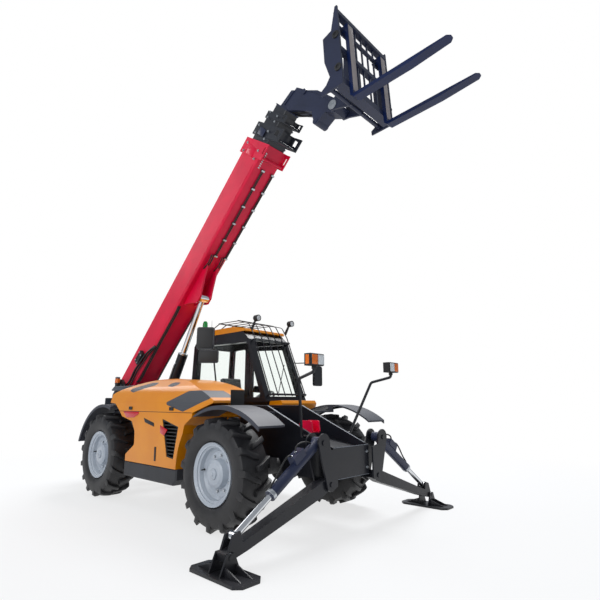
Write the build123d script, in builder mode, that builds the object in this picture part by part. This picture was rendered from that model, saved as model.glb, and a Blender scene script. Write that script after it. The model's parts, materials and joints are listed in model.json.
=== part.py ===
"""Telehandler with a four-section boom, front stabilisers and pallet forks.

Frame: +X forward, +Y to the machine's left, +Z up, millimetres, origin on the ground
under the middle of the whole machine.  It stands with the boom raised and closed up.
"""
import os
from math import cos, pi, radians, sin, sqrt

from build123d import *

os.makedirs("parts", exist_ok=True)

# ---------------------------------------------------------------- driving dimensions
wheelbase = 2950.0
wheel_y = 1000.0  # middle of a tyre from the centre plane
face_gap = 0.3  # between pieces that move face to face
pin_gap = 0.05  # radial running clearance of a pin in its bore
clear = 6.0  # least room between moving pieces

# rear weight and hitch
weight_thick = 60.0
weight_half = 495.0
hitch_plates = (890.0, 990.0)
hitch_thick = 25.0
hitch_reach = 95.0
hitch_eye = 60.0
hitch_hole = 18.0

# wheels
tyre_radius = 625.0
tyre_width = 400.0
lug_pairs = 15
lug_height = 32.0
bead_radius = 305.0
bead_half = 160.0
flange_radius = 345.0
flange_thick = 18.0
rim_wall = 20.0
disc_back = 35.0  # back of the rim's disc outboard of the tyre's middle
disc_front = 60.0
hub_radius = 150.0
hub_reach = 150.0

# axles and steering knuckles
kingpin_y = 840.0
kingpin_radius = 35.0
yoke_half = 60.0
yoke_arm_in = 145.0
yoke_arm = 40.0
beam_radius = 95.0
diff_radius = 185.0
carrier_radius = 138.0

# frame
frame_half = 345.0  # outer face of a side plate
frame_plate = 30.0
frame_front = 1078.0  # ahead of the front axle
frame_low = 575.0
frame_rear = wheelbase + 1430.0  # behind the front axle
belly_thick = 20.0
arch_half = 240.0
arch_top = 750.0
tower_radius = 170.0

# boom, from its pivot: u runs along the boom, w square to it
pivot_back = wheelbase + 1200.0
pivot_z = 1700.0
boom_angle = 45.0
pivot_pin = 50.0
boom_width = 440.0
boom_depth = 496.0
boom_wall = 10.0
boom_rise = 43.0  # middle of the section above the pivot
slide_gap = 20.0  # between one section and the next
tail_u = -200.0
# heads of the sections, whose ends lean forward towards the bottom
head_rake = 0.17
head_plate = 18.0
# columns: rear edge and front edge at the top, top, underside
head_table = [
    (4975, 5240, 323, -307),
    (5325, 5540, 293, -407),
    (5640, 5760, 233, -277),
]
inner_end = 5900.0
section_start = 320.0

# lift cylinder
lift_base_back = wheelbase + 500.0
lift_base_z = 620.0
lift_eye_u = 2544.0
lift_eye_w = -412.0
lift_barrel = 1860.0
lift_rest_drop = 25.0  # the eye hangs this far below its ears' middle at rest
lift_closed = 1985.0
lift_radius = 85.0
lift_rod_radius = 48.0
lift_pin = 40.0
lift_eye_radius = 74.0

# fork carriage
tilt_u = 6286.0
tilt_w = -1026.0
fork_tilt = 3.3
heel_ahead = 547.0  # fork heel ahead of the tilt pivot, along the forks
heel_drop = 307.0
tilt_pin = 45.0
fork_length = 1250.0
fork_width = 120.0
fork_thick = 50.0
fork_y = 384.0
fork_shank = 1080.0
carriage_half = 585.0
carriage_top = 1250.0

# stabilisers
stab_x = 1062.0  # ahead of the front axle
leg_y = 452.0
leg_z = 558.0
foot_y = 1790.0
foot_z = 150.0
foot_pin = 22.0
ram_top_y = 576.0
ram_top_z = 993.0
ram_eye_y = 1700.0
ram_eye_z = 277.0
ram_eye_radius = 45.0
ram_eye_half = 32.0
ram_barrel = 830.0
ram_closed = 889.0
ram_radius = 55.0
ram_rod_radius = 32.0
pad_length = 700.0
pad_width = 300.0
pad_thick = 25.0

# cab
cab_right = 270.0
cab_left = 1165.0
cab_wall = 45.0
cab_floor = 720.0
cab_sill = 1440.0
cab_top = 2560.0
roof_rise = 95.0
glass = 8.0
door_gap = 6.0
door_thick = 40.0


# the origin lies midway between the hitch and the fork tips
rear_reach = frame_rear + weight_thick + hitch_reach + hitch_eye
lean, pitch = radians(boom_angle), radians(fork_tilt)
tip_reach = (
    -pivot_back + tilt_u * cos(lean) - tilt_w * sin(lean)
    + (heel_ahead + fork_length) * cos(pitch) + heel_drop * sin(pitch)
)
front_axle_x = (rear_reach - tip_reach) / 2


def ahead(distance):
    """Row-frame x of a place that far ahead of the front axle."""
    return front_axle_x + distance


def abaft(distance):
    """Row-frame x of a place that far ahead of the rear axle."""
    return ahead(distance - wheelbase)


rear_axle_x = ahead(-wheelbase)
boom_dir = Vector(cos(radians(boom_angle)), 0, sin(radians(boom_angle)))
boom_up = Vector(-sin(radians(boom_angle)), 0, cos(radians(boom_angle)))
boom_pivot = Vector(ahead(-pivot_back), 0, pivot_z)
tilt_pivot = boom_pivot + boom_dir * tilt_u + boom_up * tilt_w
fork_dir = Vector(cos(radians(fork_tilt)), 0, sin(radians(fork_tilt)))
fork_up = Vector(-sin(radians(fork_tilt)), 0, cos(radians(fork_tilt)))
heel = tilt_pivot + fork_dir * heel_ahead - fork_up * heel_drop


def side_plane(y):
    """Side view at y: local x forward, local y up; extrusions go to the right."""
    return Plane(origin=(0, y, 0), x_dir=(1, 0, 0), z_dir=(0, -1, 0))


def boom_plane(y):
    """Side view on the boom's axes, origin at the boom pivot."""
    return Plane(origin=boom_pivot + Vector(0, y, 0), x_dir=boom_dir, z_dir=(0, -1, 0))


def boom_section(u):
    """Cross-section of the boom at u: local x to the left, local y to the boom's top."""
    return Plane(origin=boom_pivot + boom_dir * u, x_dir=(0, 1, 0), z_dir=boom_dir)


def fork_plane(y):
    """Side view on the forks' axes, origin at the fork heel."""
    return Plane(origin=heel + Vector(0, y, 0), x_dir=fork_dir, z_dir=(0, -1, 0))


def save(builder, node):
    """Label a finished piece and write it as one node."""
    builder.part.label = node
    export_step(builder.part, f"parts/{node}.step")


def plates(inner, outer, outline):
    """Two mirrored plates between |y| = inner and outer, from one side-view outline."""
    for low, high in ((inner, outer), (-outer, -inner)):
        with BuildSketch(side_plane((low + high) / 2)) as view:
            Polygon(*outline, align=None)
        extrude(view.sketch, amount=(high - low) / 2, both=True)


# ---------------------------------------------------------------- wheels
facets = 2 * lug_pairs
carcass_radius = tyre_radius - lug_height
tyre_half = tyre_width / 2
lug_pitch = 360 / lug_pairs
lug_end = 86.0  # how far a lug's shoulder end trails its middle
lug_top = sqrt(tyre_radius**2 - lug_end**2)
lug_root = carcass_radius * cos(pi / facets) - 22
shoulder_drop = 60.0
shoulder_width = 45.0
bead_seat = flange_radius + 4
# a bar seen from outside.  columns: across the tread, along the tread
lug_bar = [(-10, -62), (-10, -8), (tyre_half - 8, lug_end), (tyre_half - 8, lug_end - 54)]
with BuildPart() as left_tyre:
    with BuildSketch(Plane.XZ.offset(-tyre_half)):
        RegularPolygon(carcass_radius, facets)
        RegularPolygon(bead_seat, facets, mode=Mode.SUBTRACT)
    extrude(amount=tyre_width)
    ends = left_tyre.edges().filter_by(lambda edge: abs(edge.center().Y) > tyre_half - 1)
    chamfer(
        ends.filter_by(lambda edge: edge.center().length > bead_seat + shoulder_drop),
        shoulder_drop,
        shoulder_width,
    )
    for side, shift in ((1, 0), (-1, lug_pitch / 2)):
        for step in range(lug_pairs):
            angle = radians(step * lug_pitch + shift)
            out = Vector(cos(angle), 0, sin(angle))
            with BuildSketch(Plane(origin=out * lug_root, x_dir=(0, side, 0), z_dir=out)):
                Polygon(*[(across, along * side) for across, along in lug_bar], align=None)
    extrude(amount=lug_top - lug_root)
    # beads that grip the rim
    with BuildSketch(Plane.XZ.offset(-bead_half)):
        RegularPolygon(bead_seat, facets)
        RegularPolygon(bead_radius + face_gap, facets, major_radius=False, mode=Mode.SUBTRACT)
    extrude(amount=2 * bead_half)
right_tyre = mirror(left_tyre.part, about=Plane.XZ)


def make_rim(centre, side, node):
    # columns: radius, distance outboard of the tyre's middle
    profile = [
        (0, disc_back),
        (bead_radius - rim_wall, disc_back),
        (bead_radius - rim_wall, -bead_half),
        (flange_radius, -bead_half - flange_thick),
        (flange_radius, -bead_half - face_gap),
        (bead_radius, -bead_half - face_gap),
        (bead_radius, bead_half + face_gap),
        (flange_radius, bead_half + face_gap),
        (flange_radius, bead_half + flange_thick),
        (bead_radius - rim_wall, bead_half - 25),
        (bead_radius - rim_wall - 12, disc_front + 25),
        (bead_radius - rim_wall - 40, disc_front),
        (hub_radius + 15, disc_front),
        (hub_radius, disc_front + 70),
        (hub_radius - 35, hub_reach),
        (0, hub_reach),
    ]
    face = Plane(origin=centre, x_dir=(1, 0, 0), z_dir=(0, 0, side))
    with BuildPart() as rim:
        with BuildSketch(face):
            Polygon(*[(radius, reach) for radius, reach in profile], align=None)
        revolve(axis=Axis(origin=centre, direction=(0, 1, 0)))
    save(rim, node)


def make_knuckle(axle_x, side, node):
    with BuildPart() as knuckle:
        with BuildSketch(Plane(origin=(axle_x, side * kingpin_y, tyre_radius - yoke_arm_in + clear))):
            Circle(kingpin_radius * 2)
        extrude(amount=2 * (yoke_arm_in - clear))
        with BuildSketch(
            Plane(origin=(axle_x, side * kingpin_y, tyre_radius - yoke_arm_in - yoke_arm))
        ):
            Circle(kingpin_radius - pin_gap)
        extrude(amount=2 * (yoke_arm_in + yoke_arm))
        reach = wheel_y + disc_back - face_gap - kingpin_y
        with BuildSketch(Plane(origin=(axle_x, side * kingpin_y, tyre_radius), z_dir=(0, side, 0))):
            Circle(kingpin_radius * 2 - 5)
        extrude(amount=reach)
        with BuildSketch(
            Plane(origin=(axle_x, side * (kingpin_y + 80), tyre_radius), z_dir=(0, side, 0))
        ):
            Circle(carrier_radius)
        extrude(amount=reach - 80)
    save(knuckle, node)


for axle_x, end in ((front_axle_x, "front"), (rear_axle_x, "rear")):
    for side, hand in ((-1, "right"), (1, "left")):
        hub = (axle_x, side * wheel_y, tyre_radius)
        with BuildPart() as tyre:
            add((left_tyre.part if side > 0 else right_tyre).moved(Location(hub)))
        save(tyre, f"tyre_{end}_{hand}")
        make_rim(hub, side, f"rim_{end}_{hand}")
        make_knuckle(axle_x, side, f"knuckle_{end}_{hand}")


# ---------------------------------------------------------------- axles
yoke_web = kingpin_y - 2 * kingpin_radius - 2 * clear  # outer face of the yoke's web
diff_half = 105.0
# columns: axle, differential's middle, side the steering ram lies on, node
axle_table = [
    (front_axle_x, 0, -1, "axle_front"),
    (rear_axle_x, -200, 1, "axle_rear"),
]
for axle_x, diff_y, ram_side, node in axle_table:
    with BuildPart() as axle:
        with BuildSketch(Plane(origin=(axle_x, -yoke_web, tyre_radius), z_dir=(0, 1, 0))):
            Circle(beam_radius)
        extrude(amount=2 * yoke_web)
        with BuildSketch(side_plane(diff_y)):
            with Locations((axle_x, tyre_radius)):
                Circle(diff_radius)
        extrude(amount=diff_half, both=True)
        for side in (-1, 1):
            with BuildSketch(side_plane(side * (yoke_web - 20))):
                with Locations((axle_x, tyre_radius)):
                    Rectangle(2 * yoke_half, 2 * (yoke_arm_in + yoke_arm))
            extrude(amount=20, both=True)
            for level in (-1, 1):
                bottom = tyre_radius + level * (yoke_arm_in + yoke_arm / 2)
                with BuildSketch(Plane(origin=(axle_x, 0, bottom))):
                    with Locations((0, side * (yoke_web + kingpin_y) / 2)):
                        Rectangle(2 * yoke_half, kingpin_y - yoke_web)
                    with Locations((0, side * kingpin_y)):
                        Circle(yoke_half)
                        Circle(kingpin_radius, mode=Mode.SUBTRACT)
                extrude(amount=yoke_arm / 2, both=True)
        # steering ram along the beam
        with BuildSketch(side_plane(0)):
            with Locations((axle_x + ram_side * 150, tyre_radius + 20)):
                Circle(36)
        extrude(amount=330, both=True)
        for y in (-250, 250):
            with BuildSketch(side_plane(y)):
                with Locations((axle_x + ram_side * 80, tyre_radius + 20)):
                    Rectangle(150, 56)
            extrude(amount=12, both=True)
        # pads that the frame stands on
        for side in (-1, 1):
            with BuildSketch(side_plane(side * (frame_half - frame_plate / 2))):
                with Locations((axle_x, (tyre_radius + arch_top) / 2)):
                    Rectangle(260, arch_top - tyre_radius)
            extrude(amount=60, both=True)
    save(axle, node)


# ---------------------------------------------------------------- frame
plate_outline = [
    (ahead(frame_front), frame_low),
    (ahead(frame_front), 925),
    (ahead(0), 1375),
    (ahead(-700), 1375),
    (ahead(-1000), 1100),
    (abaft(-150), 1100),
    (abaft(-250), 1340),
    (abaft(-610), 1400),
    (abaft(-850), 1560),
    (ahead(-pivot_back + 90), pivot_z + 145),
    (ahead(-pivot_back - 70), pivot_z + 155),
    (ahead(-frame_rear + 20), pivot_z - 20),
    (ahead(-frame_rear), pivot_z - 200),
    (ahead(-frame_rear), 800),
    (ahead(-frame_rear + 250), 560),
    (ahead(-wheelbase - arch_half - 60), 520),
    (ahead(-wheelbase - arch_half), arch_top),
    (ahead(-wheelbase + arch_half), arch_top),
    (ahead(-wheelbase + arch_half + 80), frame_low),
    (ahead(-arch_half - 80), frame_low),
    (ahead(-arch_half), arch_top),
    (ahead(arch_half), arch_top),
    (ahead(arch_half + 80), frame_low),
]
frame_inner = frame_half - frame_plate
deck_back = 430.0
deck_top = 985.0
lift_base = Vector(ahead(-lift_base_back), 0, lift_base_z)

with BuildPart() as chassis:
    plates(frame_inner, frame_half, plate_outline)
    # cross members: x from, x to, z from, z to
    members = [
        (frame_front - 160, frame_front, frame_low, 900),
        (1050 - wheelbase, -arch_half - 90, frame_low, frame_low + belly_thick),
        (-500, -450, 900, 1340),
        (-frame_rear, -pivot_back + 150, 800, 1230),
    ]
    for x0, x1, z0, z1 in members:
        with BuildSketch(side_plane(0)):
            with Locations((ahead((x0 + x1) / 2), (z0 + z1) / 2)):
                Rectangle(x1 - x0, z1 - z0)
        extrude(amount=frame_inner, both=True)
    # deck that slopes down to the nose between the side plates
    with BuildSketch(side_plane(0)):
        Polygon(
            (ahead(frame_front), 870), (ahead(frame_front), 900), (ahead(frame_front - 160), 900),
            (ahead(deck_back), deck_top), (ahead(deck_back), deck_top - 15),
            (ahead(frame_front - 160), 870), align=None,
        )
    extrude(amount=frame_inner, both=True)
    # tie-down and access holes through the side plates
    for x, z, radius in ((ahead(820), 700, 38), (ahead(-820), 900, 60), (abaft(560), 900, 60)):
        with BuildSketch(side_plane(0)):
            with Locations((x, z)):
                Circle(radius)
        extrude(amount=frame_half, both=True, mode=Mode.SUBTRACT)
    # boom pivot bores
    with BuildSketch(side_plane(0)):
        with Locations((boom_pivot.X, boom_pivot.Z)):
            Circle(pivot_pin)
    extrude(amount=frame_half, both=True, mode=Mode.SUBTRACT)
    # lift cylinder pin
    with BuildSketch(side_plane(0)):
        with Locations((lift_base.X, lift_base.Z)):
            Circle(lift_pin - pin_gap)
    extrude(amount=frame_inner, both=True)
save(chassis, "chassis")

with BuildPart() as front_plate:
    with BuildSketch(Plane(origin=(ahead(frame_front), 0, 0), x_dir=(0, 1, 0), z_dir=(1, 0, 0))):
        with Locations((0, (frame_low + 925) / 2)):
            Rectangle(2 * frame_half, 925 - frame_low - 10)
    extrude(amount=14)
save(front_plate, "front_plate")

with BuildPart() as counterweight:
    with BuildSketch(side_plane(0)):
        Polygon(
            (ahead(-frame_rear), 820),
            (ahead(-frame_rear), 1500),
            (ahead(-frame_rear - weight_thick), 1440),
            (ahead(-frame_rear - weight_thick), 880),
            align=None,
        )
    extrude(amount=weight_half, both=True)
    outer = counterweight.edges().filter_by(Axis.Z).group_by(Axis.X)[0]
    chamfer(outer, weight_thick - 15)
    # tow hitch: a clevis with a vertical pin hole
    for z in hitch_plates:
        with BuildSketch(Plane.XY.offset(z)):
            with Locations((ahead(-frame_rear - weight_thick) - hitch_reach / 2, 0)):
                Rectangle(hitch_reach, 2 * hitch_eye)
            with Locations((ahead(-frame_rear - weight_thick) - hitch_reach, 0)):
                Circle(hitch_eye)
                Circle(hitch_hole, mode=Mode.SUBTRACT)
        extrude(amount=hitch_thick)
save(counterweight, "counterweight")

# ---------------------------------------------------------------- engine side
hood_inner = -frame_half  # the cover's fixed wall bears on the frame
hood_outer = -1150.0
hood_joint_z = 1290.0
hood_wall = 25.0
fixed_wall = 15.0
hood_low = 600.0
lid_inner = hood_inner - fixed_wall - face_gap
hood_front = ahead(-480)
hood_rear = abaft(550)
hinge_y = hood_inner + 5
hinge_z = 1690.0
hinge_pin_radius = 7.0
hinge_round = 12.0
hinge_length = 70.0
hinge_places = (abaft(1000), ahead(-1050))

engine_front = ahead(-930)
engine_rear = abaft(1120)
engine_inner = -420.0
engine_outer = -930.0
engine_low = 700.0
engine_top = 1250.0
mount_size = 100.0
mount_z = 900.0
mount_places = (engine_rear + 150, engine_front - 150)

with BuildPart() as engine:
    with BuildSketch(side_plane(engine_inner)):
        with Locations(((engine_front + engine_rear) / 2, (engine_low + engine_top) / 2)):
            Rectangle(engine_front - engine_rear, engine_top - engine_low)
    extrude(amount=engine_inner - engine_outer)
    # mounts that carry it on the frame
    with BuildSketch(side_plane(-frame_half)):
        with Locations(*[(x, mount_z) for x in mount_places]):
            Rectangle(mount_size, mount_size)
    extrude(amount=-engine_inner - frame_half + 10)
save(engine, "engine")

skirt_low = 400.0
skirt_front = ahead(-765)
skirt_rear = abaft(820)
with BuildPart() as side_skirt:
    with BuildSketch(side_plane(-frame_half)):
        Polygon(
            (skirt_rear, skirt_low),
            (skirt_rear, hood_low - face_gap),
            (skirt_front, hood_low - face_gap),
            (skirt_front, skirt_low + 70),
            (skirt_front - 75, skirt_low),
            align=None,
        )
    extrude(amount=-hood_outer - frame_half)
    chamfer(side_skirt.faces().sort_by(Axis.Y)[0].edges(), 18)
save(side_skirt, "side_skirt")


def end_plane(x):
    """End view at x: local x to the left, local y up."""
    return Plane(origin=(x, 0, 0), x_dir=(0, 1, 0), z_dir=(1, 0, 0))


def hood_form(by, bottom):
    """The engine cover's domed form, pulled in on every side by a distance.

    It is the common part of a side view, an end view and a plan.  bottom lists the
    side view's lower edge from rear to front.
    """
    tail, nose = abaft(25), ahead(-60)
    with BuildPart(mode=Mode.PRIVATE) as form:
        with BuildSketch(side_plane(0)):
            with BuildLine():
                ThreePointArc((tail, 1470), (ahead(-1560), 1752), (nose, 1440))
                Polyline((tail, 1470), *bottom, (nose, 1440))
            make_face()
            offset(amount=-by, kind=Kind.INTERSECTION)
        extrude(amount=1400)
        with BuildSketch(end_plane(tail - 10)) as end_view:
            Polygon(
                (lid_inner, bottom[-1][1] - 200), (lid_inner, 1775),
                (-880, 1748), (-1090, 1600), (hood_outer, 1420), (hood_outer, bottom[-1][1] - 200),
                align=None,
            )
            shoulder = end_view.vertices().sort_by(Axis.Y)[-3:-1]
            fillet(shoulder, 180)
            offset(amount=-by, kind=Kind.INTERSECTION)
        extrude(amount=nose - tail + 20, mode=Mode.INTERSECT)
        with BuildSketch(Plane.XY.offset(1000)) as plan:
            Polygon(
                (tail + 60, hood_inner), (tail, -800), (tail + 200, hood_outer), (nose, hood_outer),
                (nose, -890), (ahead(-430), -600), (ahead(-430), hood_inner), align=None,
            )
            fillet(plan.vertices().group_by(Axis.X)[0], 150)
            offset(amount=-by, kind=Kind.INTERSECTION)
        extrude(amount=900, mode=Mode.INTERSECT)
    return form.part


lid_edge = [
    (abaft(70), 1420), (abaft(390), 1400), (hood_rear, hood_joint_z), (hood_front, hood_joint_z),
    (ahead(-60), 1412),
]
open_edge = [(abaft(25), 1000), (ahead(-60), 1000)]
hood_solid = hood_form(0, lid_edge)
hood_room = hood_form(hood_wall, open_edge)
# louvred panels let into the lid.  columns: side-view corners
vent_views = [
    [(ahead(-1150), 1400), (ahead(-640), 1560), (ahead(-340), 1565), (ahead(-90), 1475), (ahead(-690), 1300)],
    [(abaft(620), 1600), (abaft(1100), 1702), (abaft(1480), 1695), (abaft(840), 1560)],
    [(ahead(-1400), 1645), (ahead(-1190), 1690), (ahead(-930), 1675), (ahead(-1120), 1622)],
]


def vent_prisms(by):
    """Prisms that cut the louvred panels out of the lid, pulled in by a distance."""
    with BuildPart(mode=Mode.PRIVATE) as prisms:
        for corners in vent_views:
            with BuildSketch(side_plane(-760)) as view:
                Polygon(*corners, align=None)
                fillet(view.vertices(), 22)
                offset(amount=-by)
            extrude(amount=400)
    return prisms.part


with BuildPart() as hood_lid:
    add(hood_solid)
    add(hood_room, mode=Mode.SUBTRACT)
    add(vent_prisms(0), mode=Mode.SUBTRACT)
    # knuckles that turn on the fixed wall's pins
    for x in hinge_places:
        with BuildSketch(end_plane(x)):
            with Locations((hinge_y, hinge_z)):
                Circle(hinge_round)
            with Locations(((hinge_y + lid_inner - hood_wall) / 2, hinge_z)):
                Rectangle(hinge_y - lid_inner + hood_wall, hinge_round)
            with Locations((hinge_y, hinge_z)):
                Circle(hinge_pin_radius + pin_gap, mode=Mode.SUBTRACT)
        extrude(amount=hinge_length / 2, both=True)
save(hood_lid, "hood_lid")

with BuildPart() as hood_vents:
    add(hood_solid)
    add(hood_form(hood_wall - 6, open_edge), mode=Mode.SUBTRACT)
    add(vent_prisms(face_gap), mode=Mode.INTERSECT)
save(hood_vents, "hood_vents")

arch_clear = 780.0
grille_view = [
    (ahead(-1165), 1205), (ahead(-770), 1112), (ahead(-850), 715), (ahead(-1010), 735),
]
with BuildPart() as hood_body:
    with BuildSketch(side_plane(hood_inner)) as outline:
        Polygon(
            (hood_rear, hood_joint_z - face_gap),
            (abaft(640), 1215),
            (abaft(960), 1150),
            (abaft(1060), 1010),
            (abaft(1075), 830),
            (abaft(840), 690),
            (abaft(840), hood_low),
            (ahead(-765), hood_low),
            (ahead(-640), 1140),
            (hood_front, 1240),
            (hood_front, hood_joint_z - face_gap),
            align=None,
        )
        fillet(outline.vertices().filter_by_position(Axis.Y, 800, 1160), 45)
        for x in (front_axle_x, rear_axle_x):
            with Locations((x, tyre_radius)):
                Circle(arch_clear, mode=Mode.SUBTRACT)
    extrude(amount=hood_inner - hood_outer)
    with BuildSketch(side_plane(hood_inner - fixed_wall)):
        Polygon(
            (hood_rear + hood_wall, hood_joint_z),
            (abaft(660), 1245),
            (abaft(985), 1180),
            (abaft(1100), 1010),
            (abaft(1100), hood_low),
            (ahead(-800), hood_low),
            (ahead(-665), 1155),
            (hood_front - 40, 1262),
            (hood_front - 40, hood_joint_z),
            align=None,
        )
        for x in (front_axle_x, rear_axle_x):
            with Locations((x, tyre_radius)):
                Circle(arch_clear + hood_wall, mode=Mode.SUBTRACT)
    extrude(amount=hood_inner - fixed_wall - hood_outer - hood_wall, mode=Mode.SUBTRACT)
    # side grille opening
    with BuildSketch(side_plane(hood_outer + 2 * hood_wall)):
        Polygon(*grille_view, align=None)
    extrude(amount=3 * hood_wall, mode=Mode.SUBTRACT)
    # holes for the engine's mounts
    with BuildSketch(side_plane(hood_inner + 5)):
        with Locations(*[(x, mount_z) for x in mount_places]):
            Rectangle(mount_size + 2 * face_gap, mount_size + 2 * face_gap)
    extrude(amount=fixed_wall + 10, mode=Mode.SUBTRACT)
    # fixed wall that stands up beside the boom and carries the lid's hinges
    with BuildSketch(side_plane(hood_inner)):
        Polygon(
            (abaft(560), 1200), (abaft(460), 1540), (abaft(900), hinge_z - 20),
            (ahead(-950), hinge_z - 20), (ahead(-520), 1480), (ahead(-520), 1200), align=None,
        )
    extrude(amount=fixed_wall)
    for x in hinge_places:
        with BuildSketch(end_plane(x)):
            with Locations((hinge_y, hinge_z)):
                Circle(hinge_pin_radius)
        extrude(amount=hinge_length / 2 + 12, both=True)
        for shift in (-1, 1):
            with BuildSketch(end_plane(x + shift * (hinge_length / 2 + 7))):
                with Locations((hinge_y, hinge_z)):
                    Circle(hinge_round)
                with Locations((hinge_y, hinge_z - 15)):
                    Rectangle(2 * hinge_round, 30)
            extrude(amount=5, both=True)
save(hood_body, "hood_body")

slat_pitch = 44.0
with BuildPart() as side_grille:
    with BuildSketch(side_plane(hood_outer + hood_wall)):
        Polygon(*grille_view, align=None)
        offset(amount=-face_gap, kind=Kind.INTERSECTION)
        offset(amount=-16, kind=Kind.INTERSECTION, mode=Mode.SUBTRACT)
    extrude(amount=hood_wall - 6)
    for step in range(11):
        with BuildSketch(side_plane(hood_outer + hood_wall - 4)):
            with Locations((ahead(-970), 730 + slat_pitch * step)):
                Rectangle(420, 14)
            with BuildSketch(mode=Mode.INTERSECT):
                Polygon(*grille_view, align=None)
                offset(amount=-2, kind=Kind.INTERSECTION)
        extrude(amount=10)
save(side_grille, "side_grille")

# ---------------------------------------------------------------- cab
cab_view = [
    (abaft(750), cab_floor),
    (ahead(-800), cab_floor),
    (ahead(-740), 1100),
    (ahead(-670), cab_sill),
    (ahead(-1100), 2420),
    (ahead(-1260), cab_top),
    (abaft(450), cab_top),
    (abaft(330), 2400),
    (abaft(280), cab_sill),
    (abaft(740), 1380),
]
cab_room = [
    (abaft(795), cab_floor + cab_wall),
    (ahead(-845), cab_floor + cab_wall),
    (ahead(-787), 1100),
    (ahead(-718), cab_sill),
    (ahead(-1140), 2395),
    (ahead(-1275), cab_top - cab_wall),
    (abaft(470), cab_top - cab_wall),
    (abaft(375), 2390),
    (abaft(330), cab_sill + cab_wall),
    (abaft(785), 1425),
]
right_window = [
    (ahead(-790), cab_sill + 50),
    (ahead(-1150), 2370),
    (abaft(430), 2400),
    (abaft(390), cab_sill + 90),
]
door_view = [
    (abaft(890), cab_floor + 60),
    (ahead(-870), cab_floor + 60),
    (ahead(-815), 1110),
    (ahead(-755), cab_sill),
    (ahead(-1145), 2385),
    (abaft(890), 2430),
]
door_window = [
    (abaft(980), 1250),
    (ahead(-880), 1250),
    (ahead(-840), cab_sill),
    (ahead(-1200), 2310),
    (abaft(980), 2350),
]
left_rear_window = [
    (abaft(770), cab_sill + 90),
    (abaft(770), 2400),
    (abaft(430), 2390),
    (abaft(390), cab_sill + 90),
]
# windscreen and rear window, cut straight through the sloping walls
pane_right = cab_right + 110
pane_left = cab_left - 70
screen_low = cab_sill + 65
screen_high = 2395.0
rear_low = 1600.0
rear_high = 2380.0

corner_round = 40.0
door_hinges = (950.0, 2250.0)
hinge_half = 40.0
hinge_barrel = 15.0
door_pin = 8.0
door_axis_out = 18.0
door_axis_x = min(x for x, z in door_view) - door_gap
door_axis_y = cab_left + door_axis_out


def rounded(points, radius, by=0):
    """An outline with rounded corners, moved out by a distance on every side."""
    with BuildSketch(Plane.XY, mode=Mode.PRIVATE) as sketch:
        Polygon(*points, align=None)
        offset(amount=by, kind=Kind.INTERSECTION)
        fillet(sketch.vertices(), radius)
    return sketch.sketch


with BuildPart() as cab_shell:
    with BuildSketch(side_plane(cab_left)):
        add(rounded(cab_view, 30))
    extrude(amount=cab_left - cab_right)
    # the foot well stands clear of the frame below the sill
    with BuildSketch(side_plane(frame_half)):
        with Locations((abaft(1250), cab_floor)):
            Rectangle(2200, 2 * (cab_sill - 20 - cab_floor))
    extrude(amount=frame_half - cab_right, mode=Mode.SUBTRACT)
    with BuildSketch(side_plane(cab_left - cab_wall)):
        Polygon(*cab_room, align=None)
    extrude(amount=cab_left - frame_half - 2 * cab_wall, mode=Mode.SUBTRACT)
    with BuildSketch(side_plane(cab_right + cab_wall + 100)):
        add(rounded(right_window, corner_round))
    extrude(amount=200, mode=Mode.SUBTRACT)
    with BuildSketch(side_plane(cab_left + 10)):
        add(rounded(left_rear_window, corner_round))
    extrude(amount=cab_wall + 60, mode=Mode.SUBTRACT)
    with BuildSketch(side_plane(cab_left + 10)):
        add(rounded(door_view, corner_round, door_gap))
    extrude(amount=cab_wall + 60, mode=Mode.SUBTRACT)
    for x, low, high, length in ((ahead(-1250), screen_low, screen_high, 700),
                                 (abaft(250), rear_low, rear_high, 200)):
        with BuildSketch(end_plane(x)):
            with Locations(((pane_left + pane_right) / 2, (low + high) / 2)):
                Rectangle(pane_left - pane_right, high - low)
        extrude(amount=length, mode=Mode.SUBTRACT)
    # hinge pins for the door, each on a bracket
    for z in door_hinges:
        with BuildSketch(Plane.XY.offset(z - hinge_half - 20)):
            with Locations((door_axis_x - 10, cab_left + door_axis_out / 2)):
                Rectangle(hinge_barrel * 2, door_axis_out)
            with Locations((door_axis_x, door_axis_y)):
                Circle(hinge_barrel)
        extrude(amount=20)
        with BuildSketch(Plane.XY.offset(z - hinge_half)):
            with Locations((door_axis_x, door_axis_y)):
                Circle(door_pin)
        extrude(amount=2 * hinge_half)
save(cab_shell, "cab_shell")

roof_view = [
    (ahead(-1200), cab_top), (ahead(-1225), cab_top + 50), (ahead(-1500), cab_top + roof_rise),
    (abaft(600), cab_top + roof_rise), (abaft(390), cab_top + 40), (abaft(390), cab_top),
]
with BuildPart() as cab_roof:
    with BuildSketch(side_plane(cab_left + 15)):
        add(rounded(roof_view, 8))
    extrude(amount=cab_left - cab_right + 20)
save(cab_roof, "cab_roof")

with BuildPart() as cab_door:
    with BuildSketch(side_plane(cab_left)):
        add(rounded(door_view, corner_round))
        add(rounded(door_window, corner_round), mode=Mode.SUBTRACT)
    extrude(amount=door_thick)
    for z in door_hinges:
        with BuildSketch(Plane.XY.offset(z - hinge_half + face_gap)):
            with Locations((door_axis_x + 28, cab_left + door_axis_out / 2)):
                Rectangle(56, door_axis_out)
            with Locations((door_axis_x, door_axis_y)):
                Circle(hinge_barrel)
                Circle(door_pin + pin_gap, mode=Mode.SUBTRACT)
        extrude(amount=2 * (hinge_half - face_gap))
save(cab_door, "cab_door")

with BuildPart() as door_glass:
    with BuildSketch(side_plane(cab_left - door_thick / 2)):
        add(rounded(door_window, corner_round))
    extrude(amount=glass / 2, both=True)
save(door_glass, "door_glass")

screen_foot = Vector(ahead(-670), 0, cab_sill)
screen_head = Vector(ahead(-1100), 0, 2420)
rear_foot = Vector(abaft(280), 0, cab_sill)
rear_head = Vector(abaft(330), 0, 2400)


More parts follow.
